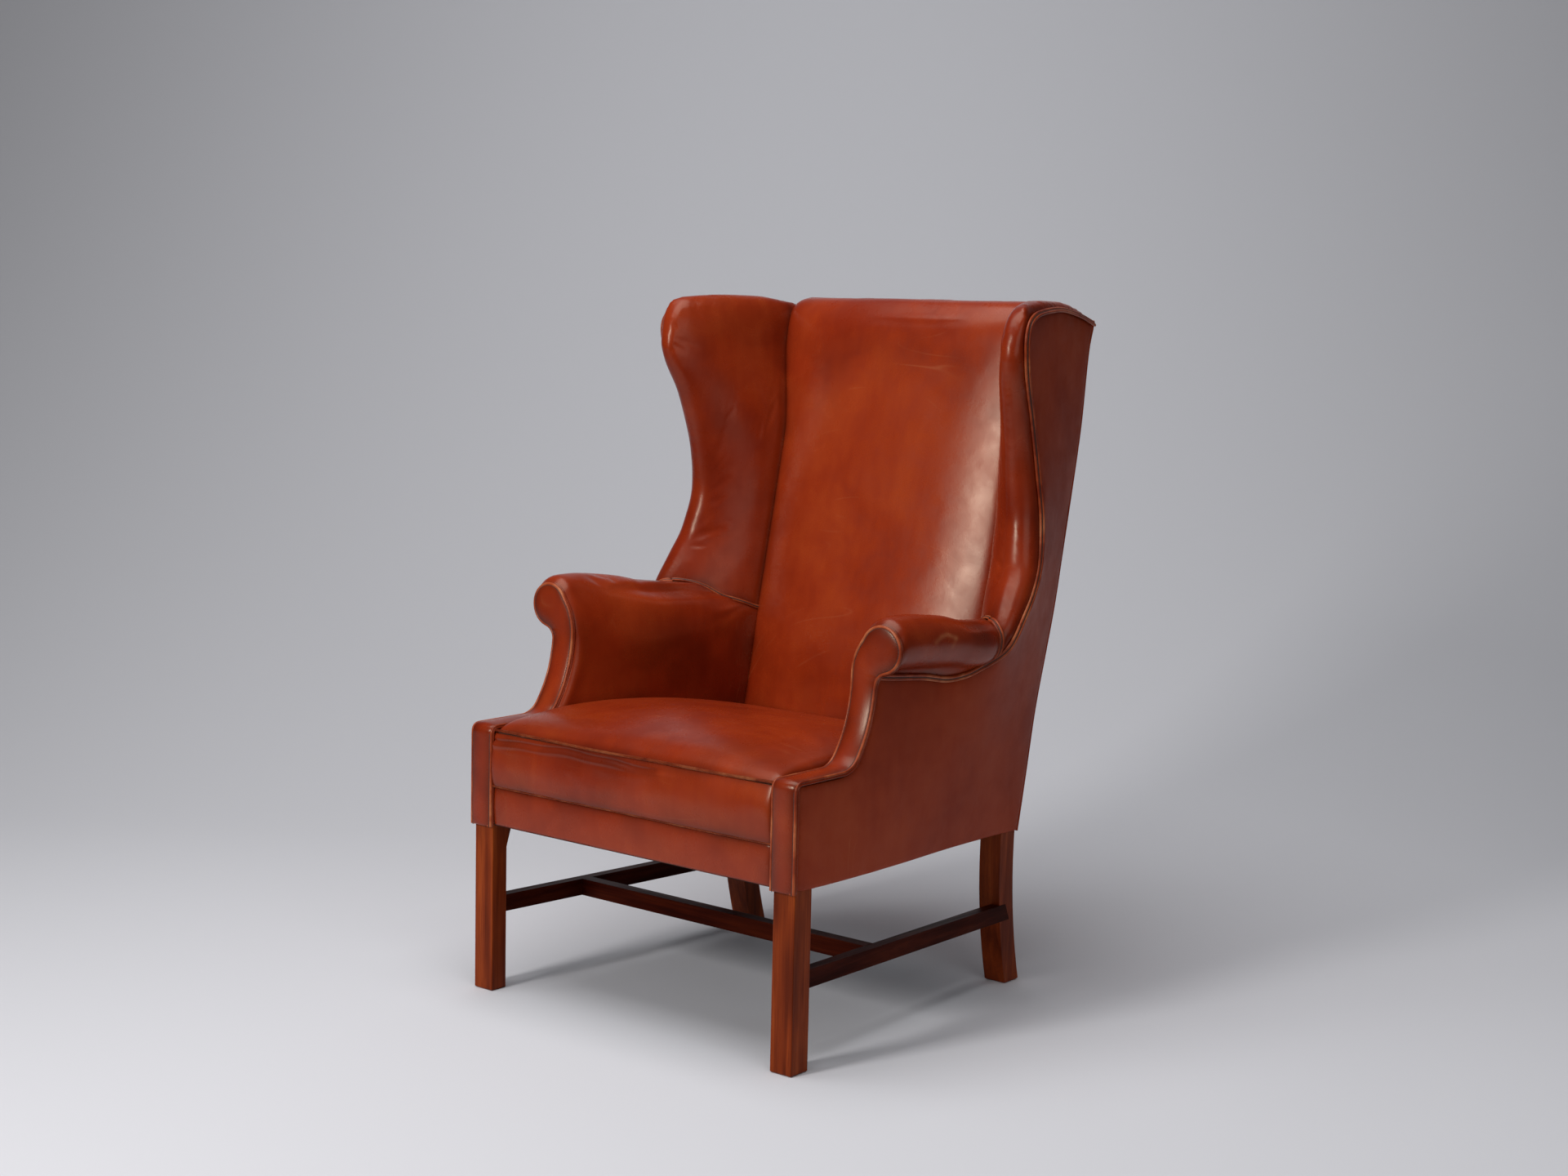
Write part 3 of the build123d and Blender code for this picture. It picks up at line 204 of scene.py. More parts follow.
# A sheet of leather pulled over a closed outline: it finds its own level like a membrane, and puff pads it
def stretchedSheet(outline, spacing, drop, puff=0.0):
    outline = np.array(outline, float)
    keep = [k for k in range(3) if k != drop]
    flat = outline[:, keep]
    low, high = flat.min(0), flat.max(0)
    inner = []
    a, b = flat, np.roll(flat, -1, axis=0)
    along = b - a
    row = 0
    v = low[1] + spacing / 2
    while v < high[1]:
        u = low[0] + spacing / 2 * (1 + row % 2)
        while u < high[0]:
            p = np.array((u, v))
            crossing = (a[:, 1] > v) != (b[:, 1] > v)
            rise = np.where(crossing, b[:, 1] - a[:, 1], 1)
            where = np.where(crossing, (b[:, 0] - a[:, 0]) * (v - a[:, 1]) / rise + a[:, 0], -9.0)
            if np.count_nonzero(crossing & (where > u)) % 2:
                t = np.clip(((p - a) * along).sum(1) / np.maximum((along ** 2).sum(1), 1e-12), 0, 1)
                if np.linalg.norm(a + along * t[:, None] - p, axis=1).min() > spacing * 0.55:
                    inner.append((u, v))
            u += spacing
        v += spacing * 0.87
        row += 1
    verts = [Vector(p) for p in flat] + [Vector(p) for p in inner]
    loop = [(k, (k + 1) % len(flat)) for k in range(len(flat))]
    verts, _, faces, origins, _, _ = delaunay_2d_cdt(verts, loop, [], 1, 1e-7)
    count = len(verts)
    place = np.array([(v.x, v.y) for v in verts])
    fixed = np.zeros(count, bool)
    level = np.full(count, outline[:, drop].mean())
    for k, source in enumerate(origins):
        rim = [s for s in source if s < len(flat)]
        if rim:
            fixed[k] = True
            level[k] = outline[rim[0], drop]
    edges = {tuple(sorted((f[i], f[(i + 1) % len(f)]))) for f in faces for i in range(len(f))}
    pairs = np.array(sorted(edges))
    weight = 1 / np.maximum(np.linalg.norm(place[pairs[:, 0]] - place[pairs[:, 1]], axis=1), spacing * 0.2)
    matrix = np.zeros((count, count))
    matrix[pairs[:, 0], pairs[:, 1]] = -weight
    matrix[pairs[:, 1], pairs[:, 0]] = -weight
    np.fill_diagonal(matrix, -matrix.sum(1))
    free = ~fixed
    system = matrix[np.ix_(free, free)]
    level[free] = np.linalg.solve(system, -matrix[np.ix_(free, fixed)] @ level[fixed])
    pad = np.zeros(count)
    if puff:
        pad[free] = np.linalg.solve(system, np.full(free.sum(), spacing))
        pad = np.sqrt(pad / max(pad.max(), 1e-9)) * puff
    points = np.zeros((count, 3))
    points[:, keep[0]], points[:, keep[1]] = place[:, 0], place[:, 1]
    points[:, drop] = level + pad
    return points, [tuple(f) for f in faces]


def thicken(obj, thickness, bevel=0.0):
    solid = obj.modifiers.new("thickness", "SOLIDIFY")
    solid.thickness = thickness
    solid.offset = -1
    if bevel:
        rounding = obj.modifiers.new("edge", "BEVEL")
        rounding.width = bevel
        rounding.segments = 2
        rounding.limit_method = "ANGLE"
        rounding.angle_limit = math.radians(60)
    settle(obj)


def subdivide(obj, level=1):
    finer = obj.modifiers.new("finer", "SUBSURF")
    finer.levels = finer.render_levels = level
    settle(obj)


def relax(obj, times):
    calm = obj.modifiers.new("relax", "SMOOTH")
    calm.factor = 0.5
    calm.iterations = times
    settle(obj)


# Applies what modifiers a piece has
def settle(obj):
    graph = bpy.context.evaluated_depsgraph_get()
    mesh = bpy.data.meshes.new_from_object(obj.evaluated_get(graph), depsgraph=graph)
    obj.modifiers.clear()
    old = obj.data
    obj.data = mesh
    bpy.data.meshes.remove(old)
    obj.data.shade_smooth()


# Pushes a piece's points along their normals by soft noise, as hand-laid padding does
def soften(obj, amount, size, seed):
    mesh = obj.data
    count = len(mesh.vertices)
    place = np.zeros(count * 3, np.float32)
    normal = np.zeros(count * 3, np.float32)
    mesh.vertices.foreach_get("co", place)
    mesh.vertex_normals.foreach_get("vector", normal)
    place, normal = place.reshape(-1, 3), normal.reshape(-1, 3)
    shift = np.array([noise.noise(Vector(p) / size + Vector((seed, 0, 0))) for p in place.tolist()])
    place += normal * (shift * amount)[:, None]
    mesh.vertices.foreach_set("co", place.ravel())
    mesh.update()


# Blows a padded piece up a little in a cloth simulation, held along its seams, so that the hide takes its
# own folds. look has the pressure, the hide's stretch and bend, and the furthest that a point may move.
def inflate(obj, held, look):
    before = pointsOf(obj)
    group = obj.vertex_groups.new(name="held")
    for index, weight in enumerate(held):
        if weight > 0.01:
            group.add([index], float(weight), "REPLACE")
    air = obj.modifiers.new("air", "CLOTH")
    settings = air.settings
    settings.quality = 5
    settings.mass = 0.4
    settings.tension_stiffness = settings.compression_stiffness = settings.shear_stiffness = look["stretch"]
    settings.bending_stiffness = look["bend"]
    settings.use_pressure = True
    settings.uniform_pressure_force = look["pressure"]
    settings.vertex_group_mass = "held"
    settings.effector_weights.gravity = 0
    air.collision_settings.use_collision = False
    air.point_cache.frame_start = 1
    air.point_cache.frame_end = look["frames"]
    for number in range(1, look["frames"] + 1):
        bpy.context.scene.frame_set(number)
    blown = obj.evaluated_get(bpy.context.evaluated_depsgraph_get())
    after = np.zeros(before.size, np.float32)
    blown.data.vertices.foreach_get("co", after)
    move = after.reshape(-1, 3) - before
    length = np.linalg.norm(move, axis=1)
    obj.modifiers.clear()
    obj.vertex_groups.clear()
    bpy.context.scene.frame_set(1)
    move *= (np.minimum(length, look["cap"]) / np.maximum(length, 1e-9))[:, None]
    obj.data.vertices.foreach_set("co", (before + move).astype(np.float32).ravel())
    obj.data.update()
    furthest = float(np.minimum(length, look["cap"]).max())
    print("  blown up", obj.name, "by up to", round(furthest * 1000, 1), "mm")


def nearTree(places):
    tree = KDTree(len(places))
    for index, place in enumerate(places):
        tree.insert(place, index)
    tree.balance()
    return tree


# How firmly each point of an open piece is held: fully at its rim, and less further in
def heldAtRim(obj, firm, free):
    work = bmesh.new()
    work.from_mesh(obj.data)
    tree = nearTree([v.co.copy() for v in work.verts if v.is_boundary])
    work.free()
    return [1 - smooth((tree.find(v.co)[2] - firm) / (free - firm)) for v in obj.data.vertices]


# Keeps a hide clear of a hidden piece that it is drawn over, where it faces the sitter or the sky
def clearOf(obj, name, gap, low):
    hidden = nodes[name]
    places = [hidden.matrix_world @ v.co for v in hidden.data.vertices]
    tree = BVHTree.FromPolygons(places, [tuple(p.vertices) for p in hidden.data.polygons])
    furthest = 0.0
    for vert in obj.data.vertices:
        if vert.co.z < low or vert.normal.y > 0.3:
            continue
        spot, normal, _, distance = tree.find_nearest(vert.co, 0.03)
        if spot is None:
            continue
        inside = (vert.co - spot).dot(normal) < -0.5 * distance
        if not inside and distance >= gap:
            continue
        way = normal if inside or distance < 0.00001 else (vert.co - spot) / distance
        target = spot + way * gap
        furthest = max(furthest, (target - vert.co).length)
        vert.co = target
    obj.data.update()
    print("  cleared", obj.name, "of", name, "by up to", round(furthest * 1000, 1), "mm")


# Materials

def newMaterial(name):
    material = bpy.data.materials.new(name)
    material.use_nodes = True
    material.node_tree.nodes.clear()
    return material, material.node_tree


# Gives a node's input a link from another node, or a plain value
def feed(tree, socket, value):
    if isinstance(value, bpy.types.NodeSocket):
        tree.links.new(value, socket)
    else:
        socket.default_value = value


def add(tree, kind, settings=None, **inputs):
    node = tree.nodes.new(kind)
    for key, value in (settings or {}).items():
        setattr(node, key, value)
    for key, value in inputs.items():
        feed(tree, node.inputs[key.replace("_", " ")], value)
    return node


def colour(values):
    return (*values, 1.0)


def ramp(tree, source, stops):
    node = tree.nodes.new("ShaderNodeValToRGB")
    tree.links.new(source, node.inputs[0])
    elements = node.color_ramp.elements
    while len(elements) < len(stops):
        elements.new(1.0)
    for element, (place, value) in zip(elements, stops):
        element.position = place
        element.color = colour(value) if isinstance(value, tuple) else (value, value, value, 1.0)
    return node.outputs["Color"]


def mix(tree, factor, first, second, blend="MIX"):
    node = tree.nodes.new("ShaderNodeMix")
    node.data_type = "RGBA"
    node.blend_type = blend
    for index, value in ((0, factor), (6, first), (7, second)):
        plain = isinstance(value, (bpy.types.NodeSocket, float))
        feed(tree, node.inputs[index], value if plain else colour(value))
    return node.outputs[2]


def math2(tree, operation, first, second=0.0, clampIt=False):
    node = tree.nodes.new("ShaderNodeMath")
    node.operation = operation
    node.use_clamp = clampIt
    feed(tree, node.inputs[0], first)
    feed(tree, node.inputs[1], second)
    return node.outputs[0]


def noiseAt(tree, vector, scale, detail=3.0, roughness=0.5, distortion=0.0):
    return add(tree, "ShaderNodeTexNoise", Vector=vector, Scale=scale, Detail=detail, Roughness=roughness,
               Distortion=distortion).outputs["Fac"]


def mapped(tree, vector, scale=(1, 1, 1), rotation=(0, 0, 0)):
    return add(tree, "ShaderNodeMapping", Vector=vector, Scale=scale, Rotation=rotation).outputs["Vector"]


def bumped(tree, height, distance, strength=1.0, normal=None):
    node = add(tree, "ShaderNodeBump", Height=height, Distance=distance, Strength=strength)
    if normal is not None:
        tree.links.new(normal, node.inputs["Normal"])
    return node.outputs["Normal"]


def finishShader(tree, baseColour, roughness, normal, **constants):
    shader = add(tree, "ShaderNodeBsdfPrincipled", Base_Color=baseColour, Roughness=roughness, Normal=normal)
    for key, value in constants.items():
        shader.inputs[key.replace("_", " ")].default_value = value
    add(tree, "ShaderNodeOutputMaterial", Surface=shader.outputs["BSDF"])


# Waxed, aniline-dyed hide: mottled patina, fine grain, faint scratches, lighter where it is rubbed, and
# darker where painted shade is laid along seams and creases
leatherLook = {
    "dark": (0.215, 0.0165, 0.0026),
    "base": (0.275, 0.0265, 0.0045),
    "light": (0.325, 0.0400, 0.0075),
    "worn": (0.470, 0.150, 0.060),
    # crease: the colour of the painted shade along seams and creases
    "crease": (0.050, 0.004, 0.001),
    "patinaSize": 5.5,
    "mottleSize": 24.0,
    "grainSize": 760.0,
    "grainDepth": 0.00012,
    "unevenDepth": 0.0004,
    "roughness": (0.24, 0.33),
    "gloss": 0.36,
    "glossTint": (1.0, 0.88, 0.70),
}
outerLook = dict(leatherLook, dark=(0.260, 0.026, 0.005), base=(0.320, 0.037, 0.008),
                 light=(0.365, 0.050, 0.012), roughness=(0.38, 0.48), gloss=0.13)
pipingLook = dict(leatherLook, dark=(0.170, 0.015, 0.003), base=(0.320, 0.050, 0.013),
                  light=(0.470, 0.140, 0.052), patinaSize=16.0, mottleSize=90.0, unevenDepth=0.0002,
                  roughness=(0.30, 0.42))


def leather(name, look):
    material, tree = newMaterial(name)
    place = add(tree, "ShaderNodeTexCoord").outputs["Object"]
    patina = noiseAt(tree, place, look["patinaSize"], 3.0, 0.55, 0.4)
    mottle = noiseAt(tree, place, look["mottleSize"], 5.0, 0.6, 0.2)
    streaks = noiseAt(tree, mapped(tree, place, (1, 1, 0.12)), 60.0, 3.0)
    blend = math2(tree, "ADD", math2(tree, "MULTIPLY", patina, 0.62), math2(tree, "MULTIPLY", mottle, 0.26))
    blend = math2(tree, "ADD", blend, math2(tree, "MULTIPLY", streaks, 0.12))
    shade = ramp(tree, blend, [(0.38, look["dark"]), (0.52, look["base"]), (0.66, look["light"])])
    lines = noiseAt(tree, mapped(tree, place, (1.2, 30, 2.2), (0.5, 0.3, 0.9)), 2.2, 1.0, 0.4, 0.1)
    scratches = ramp(tree, lines, [(0.494, 0.0), (0.50, 1.0), (0.506, 0.0)])
    patches = ramp(tree, noiseAt(tree, place, 9.0, 2.0), [(0.55, 0.0), (0.70, 0.26)])
    shade = mix(tree, math2(tree, "MULTIPLY", scratches, patches), shade, look["worn"])
    # Painted shade along seams, creases and nooks, with darker patina on the back's top, comes from a painted
    # attribute
    shadeAndSoil = add(tree, "ShaderNodeAttribute", {"attribute_name": "shadeAndSoil"}).outputs["Fac"]
    shade = mix(tree, shadeAndSoil, shade, look["crease"])
    wear = add(tree, "ShaderNodeAttribute", {"attribute_name": "wear"}).outputs["Fac"]
    rubbed = math2(tree, "MULTIPLY", wear, ramp(tree, mottle, [(0.3, 0.5), (0.7, 1.0)]))
    shade = mix(tree, rubbed, shade, look["worn"])
    low, high = look["roughness"]
    rough = ramp(tree, mottle, [(0.3, high), (0.7, low)])
    cells = add(tree, "ShaderNodeTexVoronoi", {"feature": "SMOOTH_F1"}, Vector=place, Scale=look["grainSize"])
    grain = cells.outputs["Distance"]
    normal = bumped(tree, noiseAt(tree, place, 48.0, 3.0), look["unevenDepth"], 0.5)
    normal = bumped(tree, grain, look["grainDepth"], 0.5, normal)
    finishShader(tree, shade, rough, normal, Specular_IOR_Level=look["gloss"],
                 Specular_Tint=colour(look["glossTint"]))
    return material


# Mahogany with ribbon grain along one axis
woodLook = {
    "dark": (0.105, 0.0125, 0.0016),
    "base": (0.205, 0.0290, 0.0038),
    "light": (0.320, 0.0560, 0.0080),
    "ribbon": 26.0,
    "pores": 900.0,
    "gloss": 0.11,
    "glossTint": (1.0, 0.90, 0.76),
}
# The stretchers' mahogany, much darker than the legs': painted shade, as they stand in the shade under the
# seat
shadedStretcherLook = dict(woodLook, dark=(0.018, 0.0014, 0.0003), base=(0.038, 0.0035, 0.0006),
                     light=(0.065, 0.0080, 0.0013), gloss=0.03)
beechLook = {
    "dark": (0.38, 0.24, 0.13), "base": (0.52, 0.36, 0.21), "light": (0.64, 0.47, 0.30), "ribbon": 14.0,
    "pores": 700.0, "gloss": 0.10, "glossTint": (1.0, 0.90, 0.76),
}


def wood(name, look, axis, smoothest=0.34):
    material, tree = newMaterial(name)
    place = add(tree, "ShaderNodeTexCoord").outputs["Object"]
    along = [1.0, 1.0, 1.0]
    along[axis] = 0.035
    fine = [1.0, 1.0, 1.0]
    fine[axis] = 0.02
    ribbon = noiseAt(tree, mapped(tree, place, along), look["ribbon"] * 3, 3.0, 0.55, 0.5)
    wide = [1.0, 1.0, 1.0]
    wide[axis] = 0.25
    broad = noiseAt(tree, mapped(tree, place, wide), look["ribbon"], 2.0)
    pores = noiseAt(tree, mapped(tree, place, fine), look["pores"], 2.0, 0.6)
    blend = math2(tree, "ADD", math2(tree, "MULTIPLY", ribbon, 0.55), math2(tree, "MULTIPLY", broad, 0.45))
    shade = ramp(tree, blend, [(0.36, look["dark"]), (0.50, look["base"]), (0.64, look["light"])])
    marks = ramp(tree, pores, [(0.36, 1.0), (0.46, 0.0)])
    shade = mix(tree, math2(tree, "MULTIPLY", marks, 0.55), shade, look["dark"])
    rough = ramp(tree, ribbon, [(0.3, smoothest + 0.12), (0.7, smoothest)])
    normal = bumped(tree, pores, 0.0002, 0.35)
    finishShader(tree, shade, rough, normal, Specular_IOR_Level=look["gloss"],
                 Specular_Tint=colour(look["glossTint"]))
    return material


# A plain weave of two threads, for the webbing, hessian and under cloth
def cloth(name, dark, light, threads, rough):
    material, tree = newMaterial(name)
    place = add(tree, "ShaderNodeTexCoord").outputs["Object"]
    warp, weft = (add(tree, "ShaderNodeTexWave", {"bands_direction": way}, Vector=place, Scale=threads,
                      Distortion=0.6).outputs["Fac"] for way in "XY")
    weave = math2(tree, "MULTIPLY", warp, weft)
    shade = ramp(tree, weave, [(0.05, dark), (0.6, light)])
    shade = mix(tree, noiseAt(tree, place, 30.0, 4.0), shade, dark)
    finishShader(tree, shade, rough, bumped(tree, weave, 0.0004, 0.6))
    return material


def steel(name, base, rough):
    material, tree = newMaterial(name)
    place = add(tree, "ShaderNodeTexCoord").outputs["Object"]
    spots = noiseAt(tree, place, 220.0, 4.0)
    shade = ramp(tree, spots, [(0.3, tuple(0.6 * v for v in base)), (0.7, base)])
    uneven = ramp(tree, spots, [(0.3, rough + 0.15), (0.7, rough)])
    finishShader(tree, shade, uneven, bumped(tree, spots, 0.0001, 0.3), Metallic=1.0)
    return material


# Curled hair: matted dark strands
def hair(name):
    material, tree = newMaterial(name)
    place = add(tree, "ShaderNodeTexCoord").outputs["Object"]
    strands = noiseAt(tree, place, 320.0, 6.0, 0.7, 3.0)
    shade = ramp(tree, strands, [(0.35, (0.07, 0.055, 0.04)), (0.65, (0.36, 0.30, 0.23))])
    finishShader(tree, shade, 0.9, bumped(tree, strands, 0.002, 0.9))
    return material


print("materials")
hide = leather("cognac_hide", leatherLook)
outerHide = leather("outer_hide", outerLook)
pipingHide = leather("piping_hide", pipingLook)
woodUp = wood("mahogany_upright", woodLook, 2)
# The stretchers take the darker copy of the mahogany, with painted shade in it
woodDeep = wood("mahogany_lengthways", shadedStretcherLook, 1)
woodAcross = wood("mahogany_crossways", shadedStretcherLook, 0)
beechUp = wood("beech_upright", beechLook, 2, 0.6)
beechDeep = wood("beech_lengthways", beechLook, 1, 0.6)
beechAcross = wood("beech_crossways", beechLook, 0, 0.6)
jute = cloth("jute_webbing", (0.20, 0.14, 0.08), (0.52, 0.40, 0.24), 260.0, 0.9)
hessian = cloth("hessian_cloth", (0.18, 0.13, 0.07), (0.46, 0.36, 0.22), 330.0, 0.9)
underCloth = cloth("under_cloth", (0.010, 0.009, 0.008), (0.045, 0.04, 0.036), 420.0, 0.85)
springWire = steel("spring_steel", (0.45, 0.44, 0.42), 0.4)
screwSteel = steel("screw_steel", (0.5, 0.49, 0.47), 0.35)
tackSteel = steel("tack_steel", (0.09, 0.09, 0.10), 0.35)
curledHair = hair("curled_hair")

# Which finish each carried-over CAD node gets; a name that ends in _ has a left and a right
finishes = [
    (woodUp, "front_leg_ rear_leg_"),
    (woodDeep, "side_stretcher_"),
    (woodAcross, "cross_stretcher"),
    (beechUp, "arm_stump_ wing_post_"),
    (beechDeep, "side_seat_rail_ arm_board_ wing_rail_"),
    (beechAcross, "front_seat_rail rear_seat_rail corner_blocks crest_rail lower_back_rail"),
    (screwSteel, "corner_block_screws"),
    (jute, "back_webbing seat_webbing"),
    (hessian, "seat_hessian"),
    (springWire, "seat_springs"),
    (curledHair, "back_filling seat_wadding seat_filling seat_edge_roll"),
    (underCloth, "under_cover"),
    (tackSteel, "under_cover_tacks"),
]
for finish, names in finishes:
    for name in names.split():
        for nodeName in [name + word for word, _ in sides] if name.endswith("_") else [name]:
            slots = nodes[nodeName].data.materials
            slots.clear()
            slots.append(finish)


# Camera, floor and light

studio = {
    "cameraAt": (2.3672, -2.9546, 1.1227),
    "azimuth": 38.9,
    "elevation": 7.0,
    "roll": 1.3,
    "lens": 53.19,
    "sensor": 36.0,
    # The paper is darker to the left and lighter to the right: painted light, which tones down the floor near
    # the key light and lightens the shadow to the right of the chair
    "paperShadedLeft": (0.615, 0.616, 0.652),
    "paperLitRight": (0.860, 0.862, 0.908),
    "wallDistance": 4.2,
    "sweepRadius": 3.2,
    "frontEdge": 1.35,
    "halfWidth": 2.95,
    "wallHeight": 6.5,
    "paintedLightTilt": 0.16,    # how fast the paper's painted light changes from left to right
    "worldColour": (0.86, 0.87, 0.90),
    "worldStrength": 0.05,
    "lights": [    # name, place, target, size, power, tint
        ("key_light", (-0.45, -3.3, 1.80), (0.0, 0.0, 0.70), (0.55, 1.1), 60.0, (1.0, 0.985, 0.965)),
        ("fill_light", (3.2, -1.6, 1.8), (0.0, 0.0, 0.7), (2.2, 2.4), 18.0, (0.97, 0.985, 1.0)),
        ("top_light", (-0.1, -0.7, 3.4), (0.0, 0.0, 0.5), (2.8, 2.4), 76.0, (1.0, 1.0, 1.0)),
        ("wall_light", (-1.1, 1.4, 3.6), (-2.7, 3.4, 1.7), (2.4, 1.0), 15.0, (0.97, 0.985, 1.0)),
    ],
}


def makeCamera(look):
    azimuth, elevation, roll = (math.radians(look[key]) for key in ("azimuth", "elevation", "roll"))
    back = Vector((math.sin(azimuth) * math.cos(elevation), -math.cos(azimuth) * math.cos(elevation),
                   math.sin(elevation)))
    right = Vector((math.cos(azimuth), math.sin(azimuth), 0))
    up = back.cross(right)
    turnedRight = math.cos(roll) * right + math.sin(roll) * up
    turnedUp = math.cos(roll) * up - math.sin(roll) * right
    camera = bpy.data.objects.new("camera", bpy.data.cameras.new("camera"))
    camera.data.lens = look["lens"]
    camera.data.sensor_width = look["sensor"]
    turned = Matrix((turnedRight, turnedUp, back)).transposed().to_4x4()
    camera.matrix_world = Matrix.Translation(look["cameraAt"]) @ turned
    bpy.context.collection.objects.link(camera)
    bpy.context.scene.camera = camera
    return back, right


def makeLights(look):
    for name, place, target, size, power, tint in look["lights"]:
        data = bpy.data.lights.new(name, "AREA")
        data.shape = "RECTANGLE"
        data.size, data.size_y = size
        data.energy = power
        data.color = tint
        lamp = bpy.data.objects.new(name, data)
        lamp.location = place
        lamp.rotation_euler = (Vector(target) - Vector(place)).to_track_quat("-Z", "Y").to_euler()
        bpy.context.collection.objects.link(lamp)
    world = bpy.data.worlds.new("studio")
    world.use_nodes = True
    world.node_tree.nodes["Background"].inputs[0].default_value = colour(look["worldColour"])
    world.node_tree.nodes["Background"].inputs[1].default_value = look["worldStrength"]
    bpy.context.scene.world = world
    bpy.context.scene.view_settings.view_transform = "Standard"


# The floor runs up into a backdrop behind the chair, square to the view
def makeBackdrop(look, back, right):
    material, tree = newMaterial("studio_paper")
    place = add(tree, "ShaderNodeTexCoord").outputs["Object"]
    apart = add(tree, "ShaderNodeSeparateXYZ", Vector=place)
    sideways = math2(tree, "MULTIPLY", apart.outputs["X"], right.x)
    sideways = math2(tree, "ADD", sideways, math2(tree, "MULTIPLY", apart.outputs["Y"], right.y))
    share = math2(tree, "ADD", math2(tree, "MULTIPLY", sideways, look["paintedLightTilt"]), 0.5, True)
    # Painted light: the paper is darker to the left and lighter to the right
    paintedLightPaper = ramp(tree, share, [(0.0, look["paperShadedLeft"]), (1.0, look["paperLitRight"])])
    clouds = math2(tree, "MULTIPLY", noiseAt(tree, place, 0.6, 2.0), 0.03)
    cloudy = mix(tree, clouds, paintedLightPaper, (0.5, 0.5, 0.5))
    finishShader(tree, cloudy, 0.85, bumped(tree, noiseAt(tree, place, 90.0, 2.0), 0.0004, 0.1))
    forward = Vector((-back.x, -back.y, 0)).normalized()
    curve = look["sweepRadius"]
    profile = [(-look["frontEdge"], 0.0), (look["wallDistance"] - curve, 0.0)]
    profile += [(look["wallDistance"] - curve + curve * math.sin(math.radians(a)),
                 curve - curve * math.cos(math.radians(a))) for a in range(3, 90, 3)]
    profile += [(look["wallDistance"], curve), (look["wallDistance"], look["wallHeight"])]
    widths = [look["halfWidth"] * share for share in (-1, -0.5, 0, 0.5, 1)]
    points = [tuple(forward * depth + right * width + Vector((0, 0, height))) for depth, height in profile
              for width in widths]
    mesh = bpy.data.meshes.new("studio_sweep")
    mesh.from_pydata(points, [], [tuple(reversed(f)) for f in gridFaces(len(profile), len(widths))])
    mesh.materials.append(material)
    mesh.shade_smooth()
    sweep = bpy.data.objects.new("studio_sweep", mesh)
    bpy.context.collection.objects.link(sweep)


viewBack, viewRight = makeCamera(studio)
makeLights(studio)
makeBackdrop(studio, viewBack, viewRight)


# Both sides of a piece that comes in a pair
def makePair(name, points, faces, material, replaced, closed=False, work=None, flip=False):
    made = []
    for word, side in sides:
        mesh = meshFrom(name + "_" + word, mirroredPoints(points, side), faces, flip=flip == (side > 0),
                        closed=closed)
        obj = addObject(name + "_cover_" + word, mesh, material)
        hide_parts(*[node + "_" + word for node in replaced])
        if work:
            work(obj, side)
        made.append(obj)
    return made


def paint(obj, name, values):
    layer = obj.data.attributes.new(name, "FLOAT", "POINT")
    layer.data.foreach_set("value", np.asarray(values, np.float32))


def pointsOf(obj):
    place = np.zeros(len(obj.data.vertices) * 3, np.float32)
    obj.data.vertices.foreach_get("co", place)
    return place.reshape(-1, 3).astype(float)


def nearLine(points, line, chunk=4000):
    line = np.asarray(line, float)
    a, b = line[:-1], line[1:]
    along = b - a
    squared = np.maximum((along ** 2).sum(1), 1e-12)
    result = np.zeros(len(points))
    for start in range(0, len(points), chunk):
        part = points[start:start + chunk, None, :]
        t = np.clip(((part - a) * along).sum(2) / squared, 0, 1)
        result[start:start + chunk] = np.linalg.norm(a + along * t[..., None] - part, axis=2).min(1)
    return result


# The front strip's line, seen from the side: up the box, over its corner, along the ledge and up to the neck

strip = {
    "thickness": 0.004,
    "lip": 0.0025,
    "corner": 0.009,
    "sweepShare": 0.6,
    "crown": 0.0022,
    "edgeRoll": 0.0040,
    "scrollRadius": 0.037,
    "scrollInset": 0.009,
    "scrollRise": 0.041,
    "joinAngle": 160.0,
    "hollow": 0.020,
    "hide": 0.0034,
    "spots": (0, 0.0012, 0.003, 0.006, 0.010, 0.016, 0.023, 0.030, 0.036, 0.040, 0.043, 0.0448,
              0.046),    # places across the strip, closer at its edges
}
hollowX = chair["stripOut"] + strip["hollow"]
hollowDrop = math.sqrt((strip["scrollRadius"] + strip["hollow"]) ** 2
                       - (hollowX - chair["boxOuter"] - strip["scrollInset"]) ** 2)
hollowZ = chair["neck"] + strip["scrollRise"] - hollowDrop


# The strip's outer edge, which hollows out below the scroll
def stripEdge(z):
    rise = clamp(z - hollowZ, 0, strip["hollow"])
    return hollowX - math.sqrt(strip["hollow"] ** 2 - rise ** 2)


def stripLine():
    front = -strip["thickness"]
    centre = (front + strip["corner"], chair["boxTop"] - strip["corner"])
    run = chair["armFront"] - chair["ledge"]
    rise = chair["neck"] - chair["boxTop"]
    small = strip["sweepShare"] * run
    large = (run ** 2 + (rise - small) ** 2 - small ** 2) / (2 * (run - small))
    turn = math.degrees(math.acos((rise - small) / (large - small)))
    low = chair["bottom"] - strip["lip"]
    line = [(front, between(low, centre[1], k / 24)) for k in range(24)]
    line += arc(centre, strip["corner"], 180, 90, 6)
    line += [(between(centre[0], chair["ledge"], k / 14), chair["boxTop"]) for k in range(1, 14)]
    line += arc((chair["ledge"], chair["boxTop"] + small), small, -90, turn - 90, 9)
    line += arc((chair["armFront"] - large, chair["neck"]), large, turn - 90, 0, 20)[1:]
    line = np.array(line)
    tangent = np.gradient(line, axis=0)
    tangent[0] = tangent[-1] = (0, 1)
    tangent /= np.linalg.norm(tangent, axis=1)[:, None]
    return line, np.stack([-tangent[:, 1], tangent[:, 0]], axis=1)


stripRun, stripNormal = stripLine()


def stripAt(offset):
    return stripRun + stripNormal * offset


